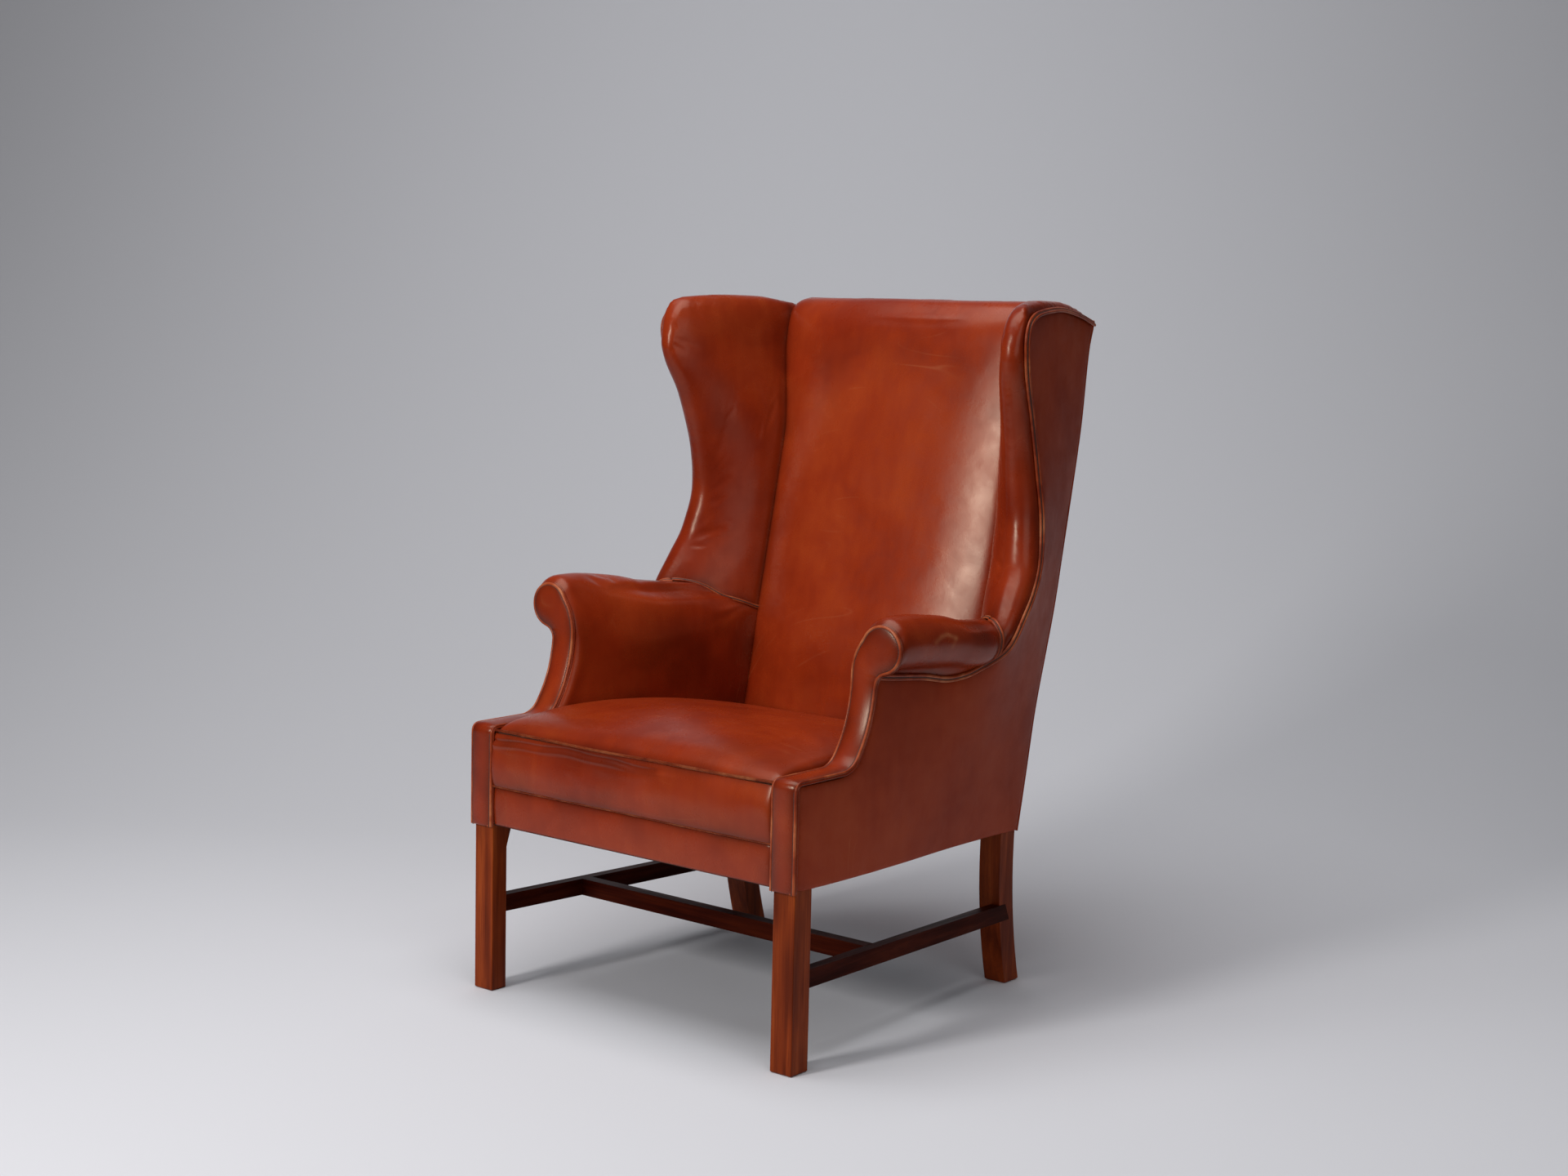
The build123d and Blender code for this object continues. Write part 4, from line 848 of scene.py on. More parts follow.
# The roll's outline across the arm: from the inner wall over the top and round to the neck outside
def rollOutline(inner, outer, neck, outerNeck, centre, radius, counts=(12, 40, 5)):
    def rim(degrees):
        return (centre[0] + radius * math.cos(math.radians(degrees)),
                centre[1] + radius * math.sin(math.radians(degrees)))

    join = rim(strip["joinAngle"])
    across = max(join[0] - inner, 0.0005)
    up = join[1] - neck
    bend = (across ** 2 + up ** 2) / (2 * across)
    swing = math.asin(min(up / bend, 1.0))
    turns = [swing * k / counts[0] for k in range(counts[0])]
    points = [(inner + bend - bend * math.cos(turn), neck + bend * math.sin(turn)) for turn in turns]
    aside = centre[0] - outer
    above = centre[1] - outerNeck
    nook = max((aside ** 2 + above ** 2 - radius ** 2) / (2 * (radius + aside)), 0.0005)
    contact = math.degrees(math.atan2(outerNeck - centre[1], outer + nook - centre[0]))
    points += arc(centre, radius, strip["joinAngle"], contact, counts[1])
    points += arc((outer + nook, outerNeck), nook, contact + 180, 180, counts[2])[1:]
    return points


def scrollOutline(inset, counts=(12, 40, 10)):
    centre = (chair["boxOuter"] + strip["scrollInset"], chair["neck"] + strip["scrollRise"])
    return rollOutline(chair["stripIn"] + inset, chair["stripOut"] - inset, chair["neck"], hollowZ, centre,
                       strip["scrollRadius"] - inset, counts)


# Distance from a point of the strip, unrolled flat, to its nearest edge
def stripInset(x, height, outline):
    if height <= 0:
        return min(x - chair["stripIn"], chair["stripOut"] - x)
    return float(nearLine(np.array([(x, chair["neck"] + height)]), outline)[0])


def stripSwell(inset):
    return strip["crown"] * smooth(inset / 0.02) - strip["edgeRoll"] * (1 - clamp(inset / 0.006)) ** 2


def makeStrips():
    spots = strip["spots"]
    width = chair["stripOut"] - chair["stripIn"]
    points = []
    rows = 0
    for (y, z), (ny, nz) in zip(stripRun, stripNormal):
        reach = stripEdge(z) - chair["stripIn"]
        for spot in spots:
            inward = spot * reach / width
            swell = stripSwell(min(inward, reach - inward))
            points.append((chair["stripIn"] + inward, y + ny * swell, z + nz * swell))
        rows += 1
    outline = scrollOutline(0)
    radius = strip["scrollRadius"]
    centreZ = chair["neck"] + strip["scrollRise"]
    turns = [-78] + list(range(-70, 51, 10)) + [58, 66, 73, 79, 84, 88]
    levels = [0.0015, 0.003] + [centreZ - chair["neck"] + radius * math.sin(math.radians(a)) for a in turns]
    edge = np.array(outline)
    for level in levels:
        z = chair["neck"] + level
        crossings = []
        for (x0, z0), (x1, z1) in zip(edge[:-1], edge[1:]):
            if (z0 - z) * (z1 - z) <= 0 and z0 != z1:
                crossings.append(x0 + (x1 - x0) * (z - z0) / (z1 - z0))
        low, high = min(crossings), max(crossings)
        for spot in spots:
            x = between(low, high, spot / width)
            swell = stripSwell(stripInset(x, level, edge))
            points.append((x, chair["armFront"] - swell, z))
        rows += 1
    faces = gridFaces(rows, len(spots))

    def work(obj, side):
        thicken(obj, strip["hide"])
        subdivide(obj, 1)

    return makePair("arm_front_strip", points, faces, hide, ["arm_front_strip"], work=work,
                    flip=True)


print("arm front strips")
strips = makeStrips()

# The seam up the side: under the roll, round its rear end, up the wing's outer edge and back along its top.
# Each row is a place and the way that the double piping faces there.
sideSeam = [
    ((0.3365, 0.183, 0.574), (1, 0, -0.2)), ((0.337, 0.203, 0.571), (1, 0, -0.2)),
    ((0.338, 0.298, 0.561), (1, 0, -0.2)), ((0.342, 0.361, 0.551), (1, 0, -0.2)),
    ((0.348, 0.395, 0.554), (1, -0.1, -0.2)), ((0.356, 0.425, 0.564), (1, -0.3, -0.1)),
    ((0.362, 0.445, 0.572), (1, -0.4, 0)), ((0.375, 0.470, 0.588), (1, -0.45, 0)),
    ((0.382, 0.495, 0.627), (1, -0.45, 0)), ((0.380, 0.530, 0.672), (1, -0.35, 0)),
    ((0.372, 0.561, 0.727), (1, -0.35, 0)), ((0.364, 0.572, 0.789), (1, -0.4, 0)),
    ((0.361, 0.560, 0.867), (1, -0.45, 0)), ((0.366, 0.529, 0.959), (1, -0.5, 0)),
    ((0.376, 0.496, 1.031), (1, -0.5, 0)), ((0.380, 0.487, 1.078), (1, -0.45, 0.15)),
    ((0.378, 0.497, 1.101), (1, -0.2, 0.5)), ((0.368, 0.537, 1.115), (0.8, 0, 0.8)),
    ((0.345, 0.635, 1.122), (0.75, 0.1, 0.8)), ((0.325, 0.723, 1.114), (0.75, 0.2, 0.7)),
    ((0.312, 0.792, 1.100), (0.8, 0.3, 0.5)),
]


# A rounded line through given places
def throughPoints(rows, step):
    rows = np.array(rows, float)
    lengths = np.concatenate([[0], np.cumsum(np.linalg.norm(np.diff(rows[:, :3], axis=0), axis=1))])
    table = smoothTable(np.column_stack([lengths, rows]))
    count = int(round(lengths[-1] / step))
    line = np.array([table(lengths[-1] * k / count) for k in range(count + 1)])
    return softened(line, 3)


seamLine = throughPoints([place + facing for place, facing in sideSeam], 0.008)
wingSeam = smoothTable([(z, x, y) for (x, y, z), _ in sideSeam[5:17]])
neckSeam = smoothTable([(y, x, z) for (x, y, z), _ in sideSeam[:6]])

# The wing: a padded roll along its front, a flatter inner face to the crease beside the back, a rounded top

wing = {
    "thickness": [(0.550, 0.014), (0.570, 0.030), (0.600, 0.044), (0.630, 0.052), (0.660, 0.058),
                  (0.700, 0.060), (0.750, 0.063), (0.800, 0.062), (0.850, 0.059), (0.900, 0.055),
                  (0.950, 0.052), (1.000, 0.049), (1.050, 0.045), (1.101, 0.040)],    # height, thickness
    "top": [(0.44, 1.090), (0.472, 1.110), (0.508, 1.127), (0.545, 1.1345), (0.580, 1.1375), (0.656, 1.1355),
            (0.694, 1.131), (0.735, 1.124), (0.800, 1.108)],
    "earDraw": 0.036,
    "shoulder": 1.046,
    "outerSquare": 0.42,
    "noseShare": 0.95,
    "rearLean": 0.16,
    "faceCrown": 0.010,
    "panelGap": 0.002,
    "footGap": 0.010,    # how much further the wing's foot stands off the panel
    "footTop": 0.66,
    "footFade": 0.10,
    "fold": 0.020,
    "levelStep": 0.012,
    "topRings": (6, 12, 18, 25, 32, 40, 48, 56, 64, 72, 79, 85),
    "voxel": 0.005,
    "held": {"facing": (0.3, 0.4), "crease": 0.02, "foot": (0.64, 0.05), "seam": (0.006, 0.03)},
    "relax": 7,
    "soft": (0.0014, 0.09),    # depth and size of the unevenness
    "fill": 0.7,
    "air": {"pressure": 4.0, "stretch": 14.0, "bend": 0.6, "frames": 18, "cap": 0.004},
}
wingThickness = smoothTable(wing["thickness"])
wingTop = smoothTable(wing["top"])


# Square to a line seen from above, towards the chair's middle
def inwardOf(way):
    inward = Vector((way.y, -way.x))
    return -inward if inward.x > 0 else inward


def wingLoop(z):
    x, y = wingSeam(z)
    rear = Vector((rearX(z) - 0.004, rearY(z) - 0.006))
    seam = Vector((x, y))
    ahead = (seam - Vector((rearX(z), rearY(z)))).normalized()
    inward = inwardOf(ahead)
    depth = wingThickness(z)[0]
    half = depth / 2
    gap = wing["panelGap"] + wing["footGap"] * smooth((wing["footTop"] - z) / wing["footFade"])
    rear = rear + inward * (gap - wing["panelGap"])
    outside = seam - ahead * 0.003 + inward * gap
    loop = []
    middle = []
    length = (seam - rear).length
    furthest = 1 - wing["earDraw"] / length
    for k in range(12):
        share = k / 12
        loop.append(rear.lerp(outside, share))
        middle.append(rear.lerp(outside, min(share, furthest))
                      + inward * between(0.010, half - wing["panelGap"], smooth(share * 2)))
    for k in range(17):
        angle = math.pi * k / 16
        out = seam + inward * (half - (half - 0.001) * math.cos(angle))
        loop.append(out + ahead * (half * wing["noseShare"] * math.sin(angle)))
        middle.append(seam + inward * half - ahead * wing["earDraw"])
    start = seam + inward * depth
    end = Vector((creaseX(z), creaseY(z)))
    across = inwardOf(end - start).normalized()
    for k in range(1, 25):
        share = k / 24
        swell = wing["faceCrown"] * math.sin(math.pi * share) ** 0.7
        fold = wing["fold"] * max(share - 0.9, 0) * 10
        place = start.lerp(end, share) + across * swell + Vector((0, fold * 0.5))
        loop.append(place)
        kept = max(share, wing["earDraw"] / length)
        middle.append(start.lerp(end, kept).lerp(outside.lerp(rear, kept), 0.5))
    behind = Vector((creaseX(z) + 0.02, rearY(z) - 0.008))
    for share in (0.4, 1.0):
        loop.append(loop[-1].lerp(behind, share))
        middle.append(loop[-1].lerp(rear, 0.5))
    return loop, middle


def makeWings():
    points = []
    rows = 0
    low = wing["thickness"][0][0]
    outerSquare = wing["outerSquare"]
    count = int(round((wing["shoulder"] - low) / wing["levelStep"]))
    for k in range(count + 1):
        z = between(low, wing["shoulder"], k / count)
        loop, middle = wingLoop(z)
        columns = len(loop)
        points += [(p.x, p.y, z) for p in loop]
        rows += 1
    for degrees in wing["topRings"]:
        for index, (p, m) in enumerate(zip(loop, middle)):
            behind = smooth((m.y - 0.50) / 0.12)
            square = between(outerSquare, between(1.0, 0.62, behind), smooth((index - 12) / 8))
            rise = math.sin(math.radians(degrees)) ** square
            draw = 1 - math.cos(math.radians(degrees)) ** square
            place = p.lerp(m, draw)
            z = between(wing["shoulder"], wingTop(m.y)[0], rise)
            lean = wing["rearLean"] * (z - wing["shoulder"]) * behind
            points.append((place.x, place.y + lean, z))
        rows += 1
    faces = gridFaces(rows, columns, wrap=True)

    def work(obj, side):
        remesh = obj.modifiers.new("even", "REMESH")
        remesh.mode = "VOXEL"
        remesh.voxel_size = wing["voxel"]
        settle(obj)
        relax(obj, wing["relax"])
        soften(obj, *wing["soft"], 3.0 * side)
        firm = wing["held"]
        held = []
        for vert in obj.data.vertices:
            place = Vector((vert.co.x * side, vert.co.y - chair["frontY"], vert.co.z))
            seam = wingSeam(place.z)
            near = math.hypot(place.x - seam[0], place.y - seam[1])
            outer = smooth((vert.normal.x * side - firm["facing"][0]) / firm["facing"][1])
            crease = smooth((place.y - creaseY(place.z) + firm["crease"]) / firm["crease"])
            low = smooth((firm["foot"][0] - place.z) / firm["foot"][1])
            edge = 1 - smooth((near - firm["seam"][0]) / firm["seam"][1])
            held.append(max(outer, crease, low, edge))
        inflate(obj, held, wing["air"])
        subdivide(obj, 1)

    return makePair("inside_wing", points, faces, hide, ["inside_wing"], closed=True,
                    work=work)


print("wings")
wings = makeWings()

# The arm: one hide over the inside wall and the roll, tucked behind the strip and into the wing

arm = {
    "base": 0.396,
    "startSet": 0.0022,
    "innerEnd": 0.601,
    "neckDraw": 0.058,    # how far the neck turns in behind the panel
    "neckDrawFrom": 0.432,
    "neckDrawOver": 0.06,
    "wallPad": 0.009,
    "padStart": 0.18,
    "padRise": 0.70,
    "padTop": 0.88,
    "padPower": 0.6,
    "padAtRear": 0.45,    # share of the padding that is left at the rear
    "padRearFrom": 0.45,
    "padRearOver": 0.15,
    "frontDraw": 0.0015,
    "frontRound": 0.016,
    "end": 0.606,
    "top": [(0.179, 0.652), (0.183, 0.6555), (0.188, 0.6600), (0.195, 0.6630), (0.205, 0.664), (0.230, 0.664),
            (0.260, 0.662), (0.300, 0.658), (0.340, 0.653), (0.380, 0.645), (0.420, 0.640), (0.460, 0.636),
            (0.500, 0.632), (0.550, 0.624), (0.606, 0.614)],
    "radius": [(0.179, 0.0370), (0.183, 0.0385), (0.190, 0.0397), (0.216, 0.0407), (0.254, 0.0407),
               (0.308, 0.0396), (0.379, 0.0385), (0.430, 0.0375), (0.460, 0.034), (0.525, 0.032),
               (0.606, 0.030)],
    "middle": [(0.179, 0.345), (0.300, 0.3455), (0.380, 0.3455), (0.430, 0.3425), (0.470, 0.3335),
               (0.500, 0.322), (0.550, 0.301), (0.606, 0.280)],
    "turns": (12, 40, 5),
    "wallRows": 26,
    "depthRows": 52,
    "frontSteps": (0, 0.0008, 0.002, 0.004, 0.0065, 0.0095, 0.013, 0.017, 0.023, 0.031),
    "tuck": 0.009,
    "tuckFrom": 0.36,
    "tuckShare": 0.12,
    "joinFrom": 12,    # the first row to look for the joint with the wing
    "soft": (0.0007, 0.08),
    "held": (0.012, 0.05),    # how far in from its rim the hide is held fast, and where it is free
    "fill": 0.75,
    "air": {"pressure": 4.0, "stretch": 14.0, "bend": 0.6, "frames": 18, "cap": 0.003},
}
armTop = smoothTable(arm["top"])
armRadius = smoothTable(arm["radius"])
armMiddle = smoothTable(arm["middle"])


def armInner(y):
    share = clamp((y - chair["armFront"]) / (arm["innerEnd"] - chair["armFront"]))
    return between(chair["stripIn"], chair["creaseHalf"], share)


def armSection(y):
    top, radius, middle = armTop(y)[0], armRadius(y)[0], armMiddle(y)[0]
    outer, outerNeck = neckSeam(clamp(y, 0.183, 0.425))
    outer -= arm["neckDraw"] * smooth((y - arm["neckDrawFrom"]) / arm["neckDrawOver"])
    neck = chair["neck"]
    outline = rollOutline(armInner(y), outer, neck, outerNeck, (middle, top - radius), radius, arm["turns"])
    over = np.array(outline)
    return softened(np.vstack([(over[0][0], over[0][1] - 0.01), over]), 2)[1:]


def makeArms():
    startY, startZ = stripAt(-strip["thickness"] + arm["startSet"]).T
    rise = np.argmax(startY > chair["ledge"] - 0.004)
    steps = arm["frontSteps"]
    wall = arm["wallRows"]
    levels = [between(arm["base"], chair["neck"], k / wall) for k in range(wall)]
    starts = [float(np.interp(z, startZ[rise:], startY[rise:])) for z in levels]
    sections = {}

    def section(y):
        key = round(y, 5)
        if key not in sections:
            sections[key] = armSection(key)
        return sections[key]

    begin = chair["armFront"] + arm["startSet"]
    count = len(section(begin))
    rows = len(steps) + arm["depthRows"]
    grid = np.zeros((rows, wall + count, 3))
    for c in range(wall + count):
        y0 = starts[c] if c < wall else begin
        for r in range(rows):
            if r < len(steps):
                y = y0 + steps[r]
            else:
                y = between(y0 + steps[-1], arm["end"], (r - len(steps) + 1) / (rows - len(steps)))
            depth = y - y0
            rounded = math.sqrt(1 - (1 - clamp(depth / arm["frontRound"])) ** 2)
            rearward = smooth((y - arm["padRearFrom"]) / arm["padRearOver"])
            ease = rounded * between(1, arm["padAtRear"], rearward)
            if c < wall:
                z = levels[c]
                share = c / wall
                full = clamp(arm["padStart"] + arm["padRise"] * share)
                pad = arm["wallPad"] * math.sin(math.pi * full) ** arm["padPower"]
                x = armInner(y) - pad * ease + arm["frontDraw"] * (1 - rounded)
            else:
                x, z = section(y)[c - wall]
                top = clamp(1 - (c - wall) / 16)
                pad = arm["wallPad"] * math.sin(math.pi * arm["padTop"]) ** arm["padPower"] * top * top
                x -= pad * ease
            grid[r, c] = (x, y, z)
    faces = gridFaces(rows, wall + count)

    def work(obj, side):
        soften(obj, *arm["soft"], 9.0 * side)
        inflate(obj, heldAtRim(obj, *arm["held"]), arm["air"])
        subdivide(obj, 1)

    made = makePair("arm", [tuple(p) for p in grid.reshape(-1, 3)], faces, hide,
                    ["inside_arm", "arm_roll"], work=work)
    return made, grid


print("arms")
arms, armGrid = makeArms()


# Tucks the arm's hide in where it meets the wing
def joinArmToWing(armObj, wingObj):
    graph = bpy.context.evaluated_depsgraph_get()
    tree = BVHTree.FromObject(wingObj, graph)
    mesh = armObj.data
    for vert in mesh.vertices:
        if vert.co.y - chair["frontY"] < arm["tuckFrom"]:
            continue
        spot, normal, _, _ = tree.find_nearest(vert.co, arm["tuck"] * 2)
        if spot is None:
            continue
        outside = (vert.co - spot).dot(normal)
        if 0 < outside < arm["tuck"]:
            vert.co -= vert.normal * arm["tuckShare"] * (arm["tuck"] - outside) ** 2 / arm["tuck"]
    mesh.update()


for armObj, wingObj in zip(arms, wings):
    joinArmToWing(armObj, wingObj)

# The outside panel: one hide from the box's bottom to the top of the wing

panel = {
    "spacing": 0.013,
    "step": 0.011,
    "edgeSet": 0.0005,
    "flareFrom": 0.04,    # where the bottom edge begins to draw in towards the rear
    "flareOver": 0.55,
    "pad": 0.003,
    "hide": 0.0028,
    "soft": (0.0010, 0.12),
}


def panelOutline():
    outline = []
    front = stripAt(-strip["thickness"] + panel["edgeSet"])
    for y, z in resample([p for p in front if p[1] > chair["bottom"]], panel["step"]):
        outline.append((chair["boxOuter"], y, z))
    outline += [tuple(p[:3]) for p in resample(seamLine[:, :3], panel["step"])][1:]
    outline += [(rearX(z), rearY(z), z) for z in np.linspace(rearCorner, rearBottom, 70)][1:]
    for share in np.linspace(0, 1, 54)[1:-1]:
        y = chair["seatDepth"] * (1 - share)
        drawn = smooth(clamp((y - panel["flareFrom"]) / panel["flareOver"]))
        x = between(chair["boxOuter"], rearX(rearBottom), drawn)
        outline.append((x, y, between(rearBottom, chair["bottom"], share)))
    return outline


def makePanels():
    points, faces = stretchedSheet(panelOutline(), panel["spacing"], 0, panel["pad"])

    def work(obj, side):
        thicken(obj, panel["hide"])
        soften(obj, *panel["soft"], 7.0 * side)
        subdivide(obj, 1)

    return makePair("outside_panel", [tuple(p) for p in points], faces, outerHide,
                    ["outside_panel"], work=work)


print("outside panels")
panels = makePanels()

# The outside back and the inside back, which rolls over the top to meet it

back = {
    "crown": [(0.380, 0.024), (0.460, 0.028), (0.515, 0.034), (0.570, 0.036), (0.640, 0.031), (0.710, 0.026),
              (0.780, 0.024), (0.860, 0.023), (0.930, 0.022), (1.000, 0.021), (1.050, 0.019), (1.090, 0.017)],
    "shoulder": 1.086,
    "topHeight": 0.050,
    "tuck": 0.020,
    "tuckFrom": 0.965,
    "tuckOver": 0.035,
    "overlap": 0.018,
    "sideReach": 0.050,
    "reachShare": 0.12,
    "reachWidth": 0.008,
    "edgeDrop": 0.008,
    "cornerFrom": 0.88,
    "cornerOver": 0.12,
    "cornerDrop": 0.016,
    "sideFall": 0.05,
    "reachDrop": 0.030,
    "rearDrop": 0.012,
    "rearSet": 0.0045,
    "roundness": 0.85,
    "flat": 3.1,
    "lean": 0.20,
    "outsideRows": 64,
    "outsideColumns": 30,
    "outsideRise": 0.006,
    "outsideSet": 0.0005,
    "outsidePad": 0.003,
    "outsideHide": 0.0028,
    "outsideSoft": (0.0008, 0.12),
    "low": 0.385,
    "rows": 76,
    "relax": 6,
    "soft": (0.0012, 0.16),
    "held": (0.060, 0.11),
    "clear": (0.0030, 0.0010),    # of the filling, before and after it is made finer
    "clearFrom": 0.45,
    "fill": 0.7,
    "air": {"pressure": 3.0, "stretch": 14.0, "bend": 0.6, "frames": 18, "cap": 0.002},
}
backCrown = smoothTable(back["crown"])


def makeOutsideBack():
    rows, columns = back["outsideRows"], back["outsideColumns"]
    points = []
    for r in range(rows):
        z = between(rearBottom, rearCorner + back["outsideRise"], r / (rows - 1))
        level = min(z, rearCorner)
        for c in range(columns):
            u = between(-1, 1, c / (columns - 1))
            pad = back["outsidePad"] * (1 - u ** 6) * min(1, math.sin(math.pi * r / (rows - 1)) * 5)
            points.append((u * (rearX(level) - back["outsideSet"]), rearY(level) + pad, z))
    mesh = meshFrom("outside_back", points, gridFaces(rows, columns))
    obj = addObject("outside_back_cover", mesh, outerHide)
    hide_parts("outside_back")
    thicken(obj, back["outsideHide"])
    soften(obj, *back["outsideSoft"], 2.0)


def makeInsideBack():
    across = [-1.12, -1.08, -1.04] + [k / 30 - 1 for k in range(61)] + [1.04, 1.08, 1.12]
    columns = len(across)
    points = []
    rows = 0

    # Past its edges the hide runs straight back, between the wing and the filling
    def addRow(frontY, crown, z, half):
        for u in across:
            edge = min(abs(u), 1.0)
            past = (abs(u) - edge) / back["reachShare"]
            fall = crown * (1 - edge ** back["flat"]) - back["edgeDrop"] * edge ** 24
            tuck = back["tuck"] * clamp((edge - back["tuckFrom"]) / back["tuckOver"]) ** 2
            tuck += back["sideReach"] * past
            x = math.copysign(edge, u) * (half + back["reachWidth"] * past)
            points.append((x, frontY - fall + tuck, z))

    low, high = back["low"], back["shoulder"]
    count = back["rows"]
    for k in range(count + 1):
        z = between(low, high, k / count)
        addRow(creaseY(z), backCrown(z)[0], z, creaseX(z) + back["overlap"])
        rows += 1
    crown = backCrown(high)[0]
    frontY = creaseY(high) - crown
    rearLine = rearY(rearCorner) - back["rearSet"]
    half = creaseX(high) + back["overlap"]
    middle = between(frontY, rearLine, 0.5)
    for degrees in list(range(6, 90, 6)) + list(range(90, 181, 6)):
        angle = math.radians(degrees)
        front = math.cos(angle / 2) ** 2
        swing = math.copysign(abs(math.cos(angle)) ** back["roundness"], math.cos(angle))
        y = middle - (rearLine - frontY) / 2 * swing
        lift = back["topHeight"] * math.sin(angle) ** back["roundness"]
        if degrees > 90:
            lift -= back["rearDrop"] * (1 - math.sin(angle))
        for u in across:
            edge = min(abs(u), 1.0)
            past = (abs(u) - edge) / back["reachShare"]
            side = clamp((edge - back["cornerFrom"]) / back["cornerOver"])
            fall = (-crown * edge ** back["flat"] - back["edgeDrop"] * edge ** 24) * front
            z = high + lift * (1 - back["sideFall"] * edge ** 3)
            z -= back["cornerDrop"] * side ** 2 * math.sin(angle)
            z -= back["reachDrop"] * past * math.sin(angle)
            tuck = back["tuck"] * side ** 2 * front * 0.5 + back["sideReach"] * past * front
            x = math.copysign(edge, u) * (half + back["reachWidth"] * past * front)
            points.append((x, y - fall + tuck + back["lean"] * max(lift, 0) * front, z))
        rows += 1
    mesh = meshFrom("inside_back", points, gridFaces(rows, columns))
    obj = addObject("inside_back_cover", mesh, hide)
    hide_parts("inside_back")
    relax(obj, back["relax"])
    soften(obj, *back["soft"], 6.0)
    inflate(obj, heldAtRim(obj, *back["held"]), back["air"])
    clearOf(obj, "back_filling", back["clear"][0], back["clearFrom"])
    subdivide(obj, 1)
    clearOf(obj, "back_filling", back["clear"][1], back["clearFrom"])
    return obj


print("back")
makeOutsideBack()
insideBack = makeInsideBack()

# The seat, its front border and the band along the front rail

seat = {
    "front": 0.0055,
    "rear": 0.586,
    "middle": [(0.0055, 0.4315), (0.012, 0.4405), (0.022, 0.4490), (0.040, 0.4575), (0.080, 0.4670),
               (0.140, 0.4735), (0.200, 0.4755), (0.270, 0.4720), (0.340, 0.4620), (0.420, 0.4445),
               (0.490, 0.4260), (0.540, 0.4120), (0.586, 0.3990)],    # depth, height along the middle
    "edge": [(0.0055, 0.4300), (0.012, 0.4335), (0.022, 0.4375), (0.040, 0.4400), (0.125, 0.4400),
             (0.240, 0.4330), (0.360, 0.4210), (0.443, 0.4100), (0.536, 0.3990),
             (0.586, 0.3930)],    # depth, height along the sides
    "power": 2.6,
    "half": 0.2898,
    "skirt": 0.016,
    "reach": 0.08,    # how far past its sides the hide is tucked down, as a share
    "frontBias": 1.6,    # sets the rows closer together at the front
    "sideLap": 0.004,
    "seamZ": 0.4298,
    "seamY": 0.0030,
    "rows": 74,
    "columns": 79,
    "soft": (0.0020, 0.13),
    "held": (0.018, 0.07),
    "fill": 0.75,
    "air": {"pressure": 4.0, "stretch": 14.0, "bend": 0.6, "frames": 18, "cap": 0.003},
}
seatMiddle = smoothTable(seat["middle"])
seatEdge = smoothTable(seat["edge"])


def seatHeight(y, u):
    curve = (1 - min(abs(u), 1.0) ** seat["power"]) ** (1 / seat["power"])
    return between(seatEdge(y)[0], seatMiddle(y)[0], curve)


def seatHalf(y):
    return min(seat["half"], armInner(y) + seat["sideLap"] * clamp((y - 0.1) / 0.1))


def makeSeat():
    rows, columns = seat["rows"], seat["columns"]
    points = []
    for r in range(rows):
        y = between(seat["front"], seat["rear"], (r / (rows - 1)) ** seat["frontBias"])
        for c in range(columns):
            u = between(-1 - seat["reach"], 1 + seat["reach"], c / (columns - 1))
            past = max(abs(u) - 1, 0) / seat["reach"]
            x = math.copysign(min(abs(u), 1.0), u) * seatHalf(y)
            points.append((x, y, seatHeight(y, u) - seat["skirt"] * past))
    mesh = meshFrom("seat", points, gridFaces(rows, columns))
    obj = addObject("seat_cover_hide", mesh, hide)
    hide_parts("seat_cover")
    soften(obj, *seat["soft"], 11.0)
    inflate(obj, heldAtRim(obj, *seat["held"]), seat["air"])
    subdivide(obj, 1)
    return obj


# The hair stuffing under the seat's hide, down to the hessian
stuffing = {
    "rear": 0.530,
    "under": 0.007,
    "aside": 0.012,
    "narrowed": 0.97,
    "rows": 36,
    "columns": 33,
    "fill": 0.8,
}


def makeStuffing():
    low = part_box("seat_filling")[0]
    front, rear = low.y - chair["frontY"], stuffing["rear"]
    rows, columns = stuffing["rows"], stuffing["columns"]
    points = []
    for r in range(-1, rows + 1):
        y = between(front, rear, clamp(r / (rows - 1)))
        for c in range(-1, columns + 1):
            u = between(-1, 1, clamp(c / (columns - 1)))
            outside = r in (-1, rows) or c in (-1, columns)
            z = low.z if outside else seatHeight(y, u * stuffing["narrowed"]) - stuffing["under"]
            points.append((u * (armInner(y) - stuffing["aside"]), y, z))
    mesh = meshFrom("stuffing", points, gridFaces(rows + 2, columns + 2), closed=True)
    obj = addObject("seat_stuffing", mesh, curledHair)
    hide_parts("seat_wadding", "seat_filling")


border = {
    "bottom": 0.3420,
    "top": 0.4290,
    "bulge": 0.0104,
    "roundness": 0.48,
    "half": 0.2912,
    "creaseDrop": 0.009,
    "creaseDepth": 0.0030,
    "creaseWidth": 0.0026,
    "creaseTo": 0.13,    # the crease fades out towards the sitter's left
    "creaseFade": 0.16,
    "ridge": (0.8, 0.006, 0.005),    # its share of the crease, place below it and width
    "edgeReach": 0.010,
    "edgeDrop": 0.0022,
    "hide": 0.0022,
    "rows": 44,
    "columns": 110,
    "soft": (0.0007, 0.05),
    "held": (0.010, 0.025),
    "fill": 0.7,
    "air": {"pressure": 4.0, "stretch": 14.0, "bend": 0.4, "frames": 14, "cap": 0.002},
    "dents": [(-0.115, 0.378, 0.014, 0.0010), (0.055, 0.366, 0.012, 0.0008), (0.266, 0.398, 0.030, -0.0020)],
}


def creaseWave(x):
    return border["creaseDrop"] + 0.0025 * math.sin(x * 19 + 0.7) + 0.001 * math.sin(x * 61)


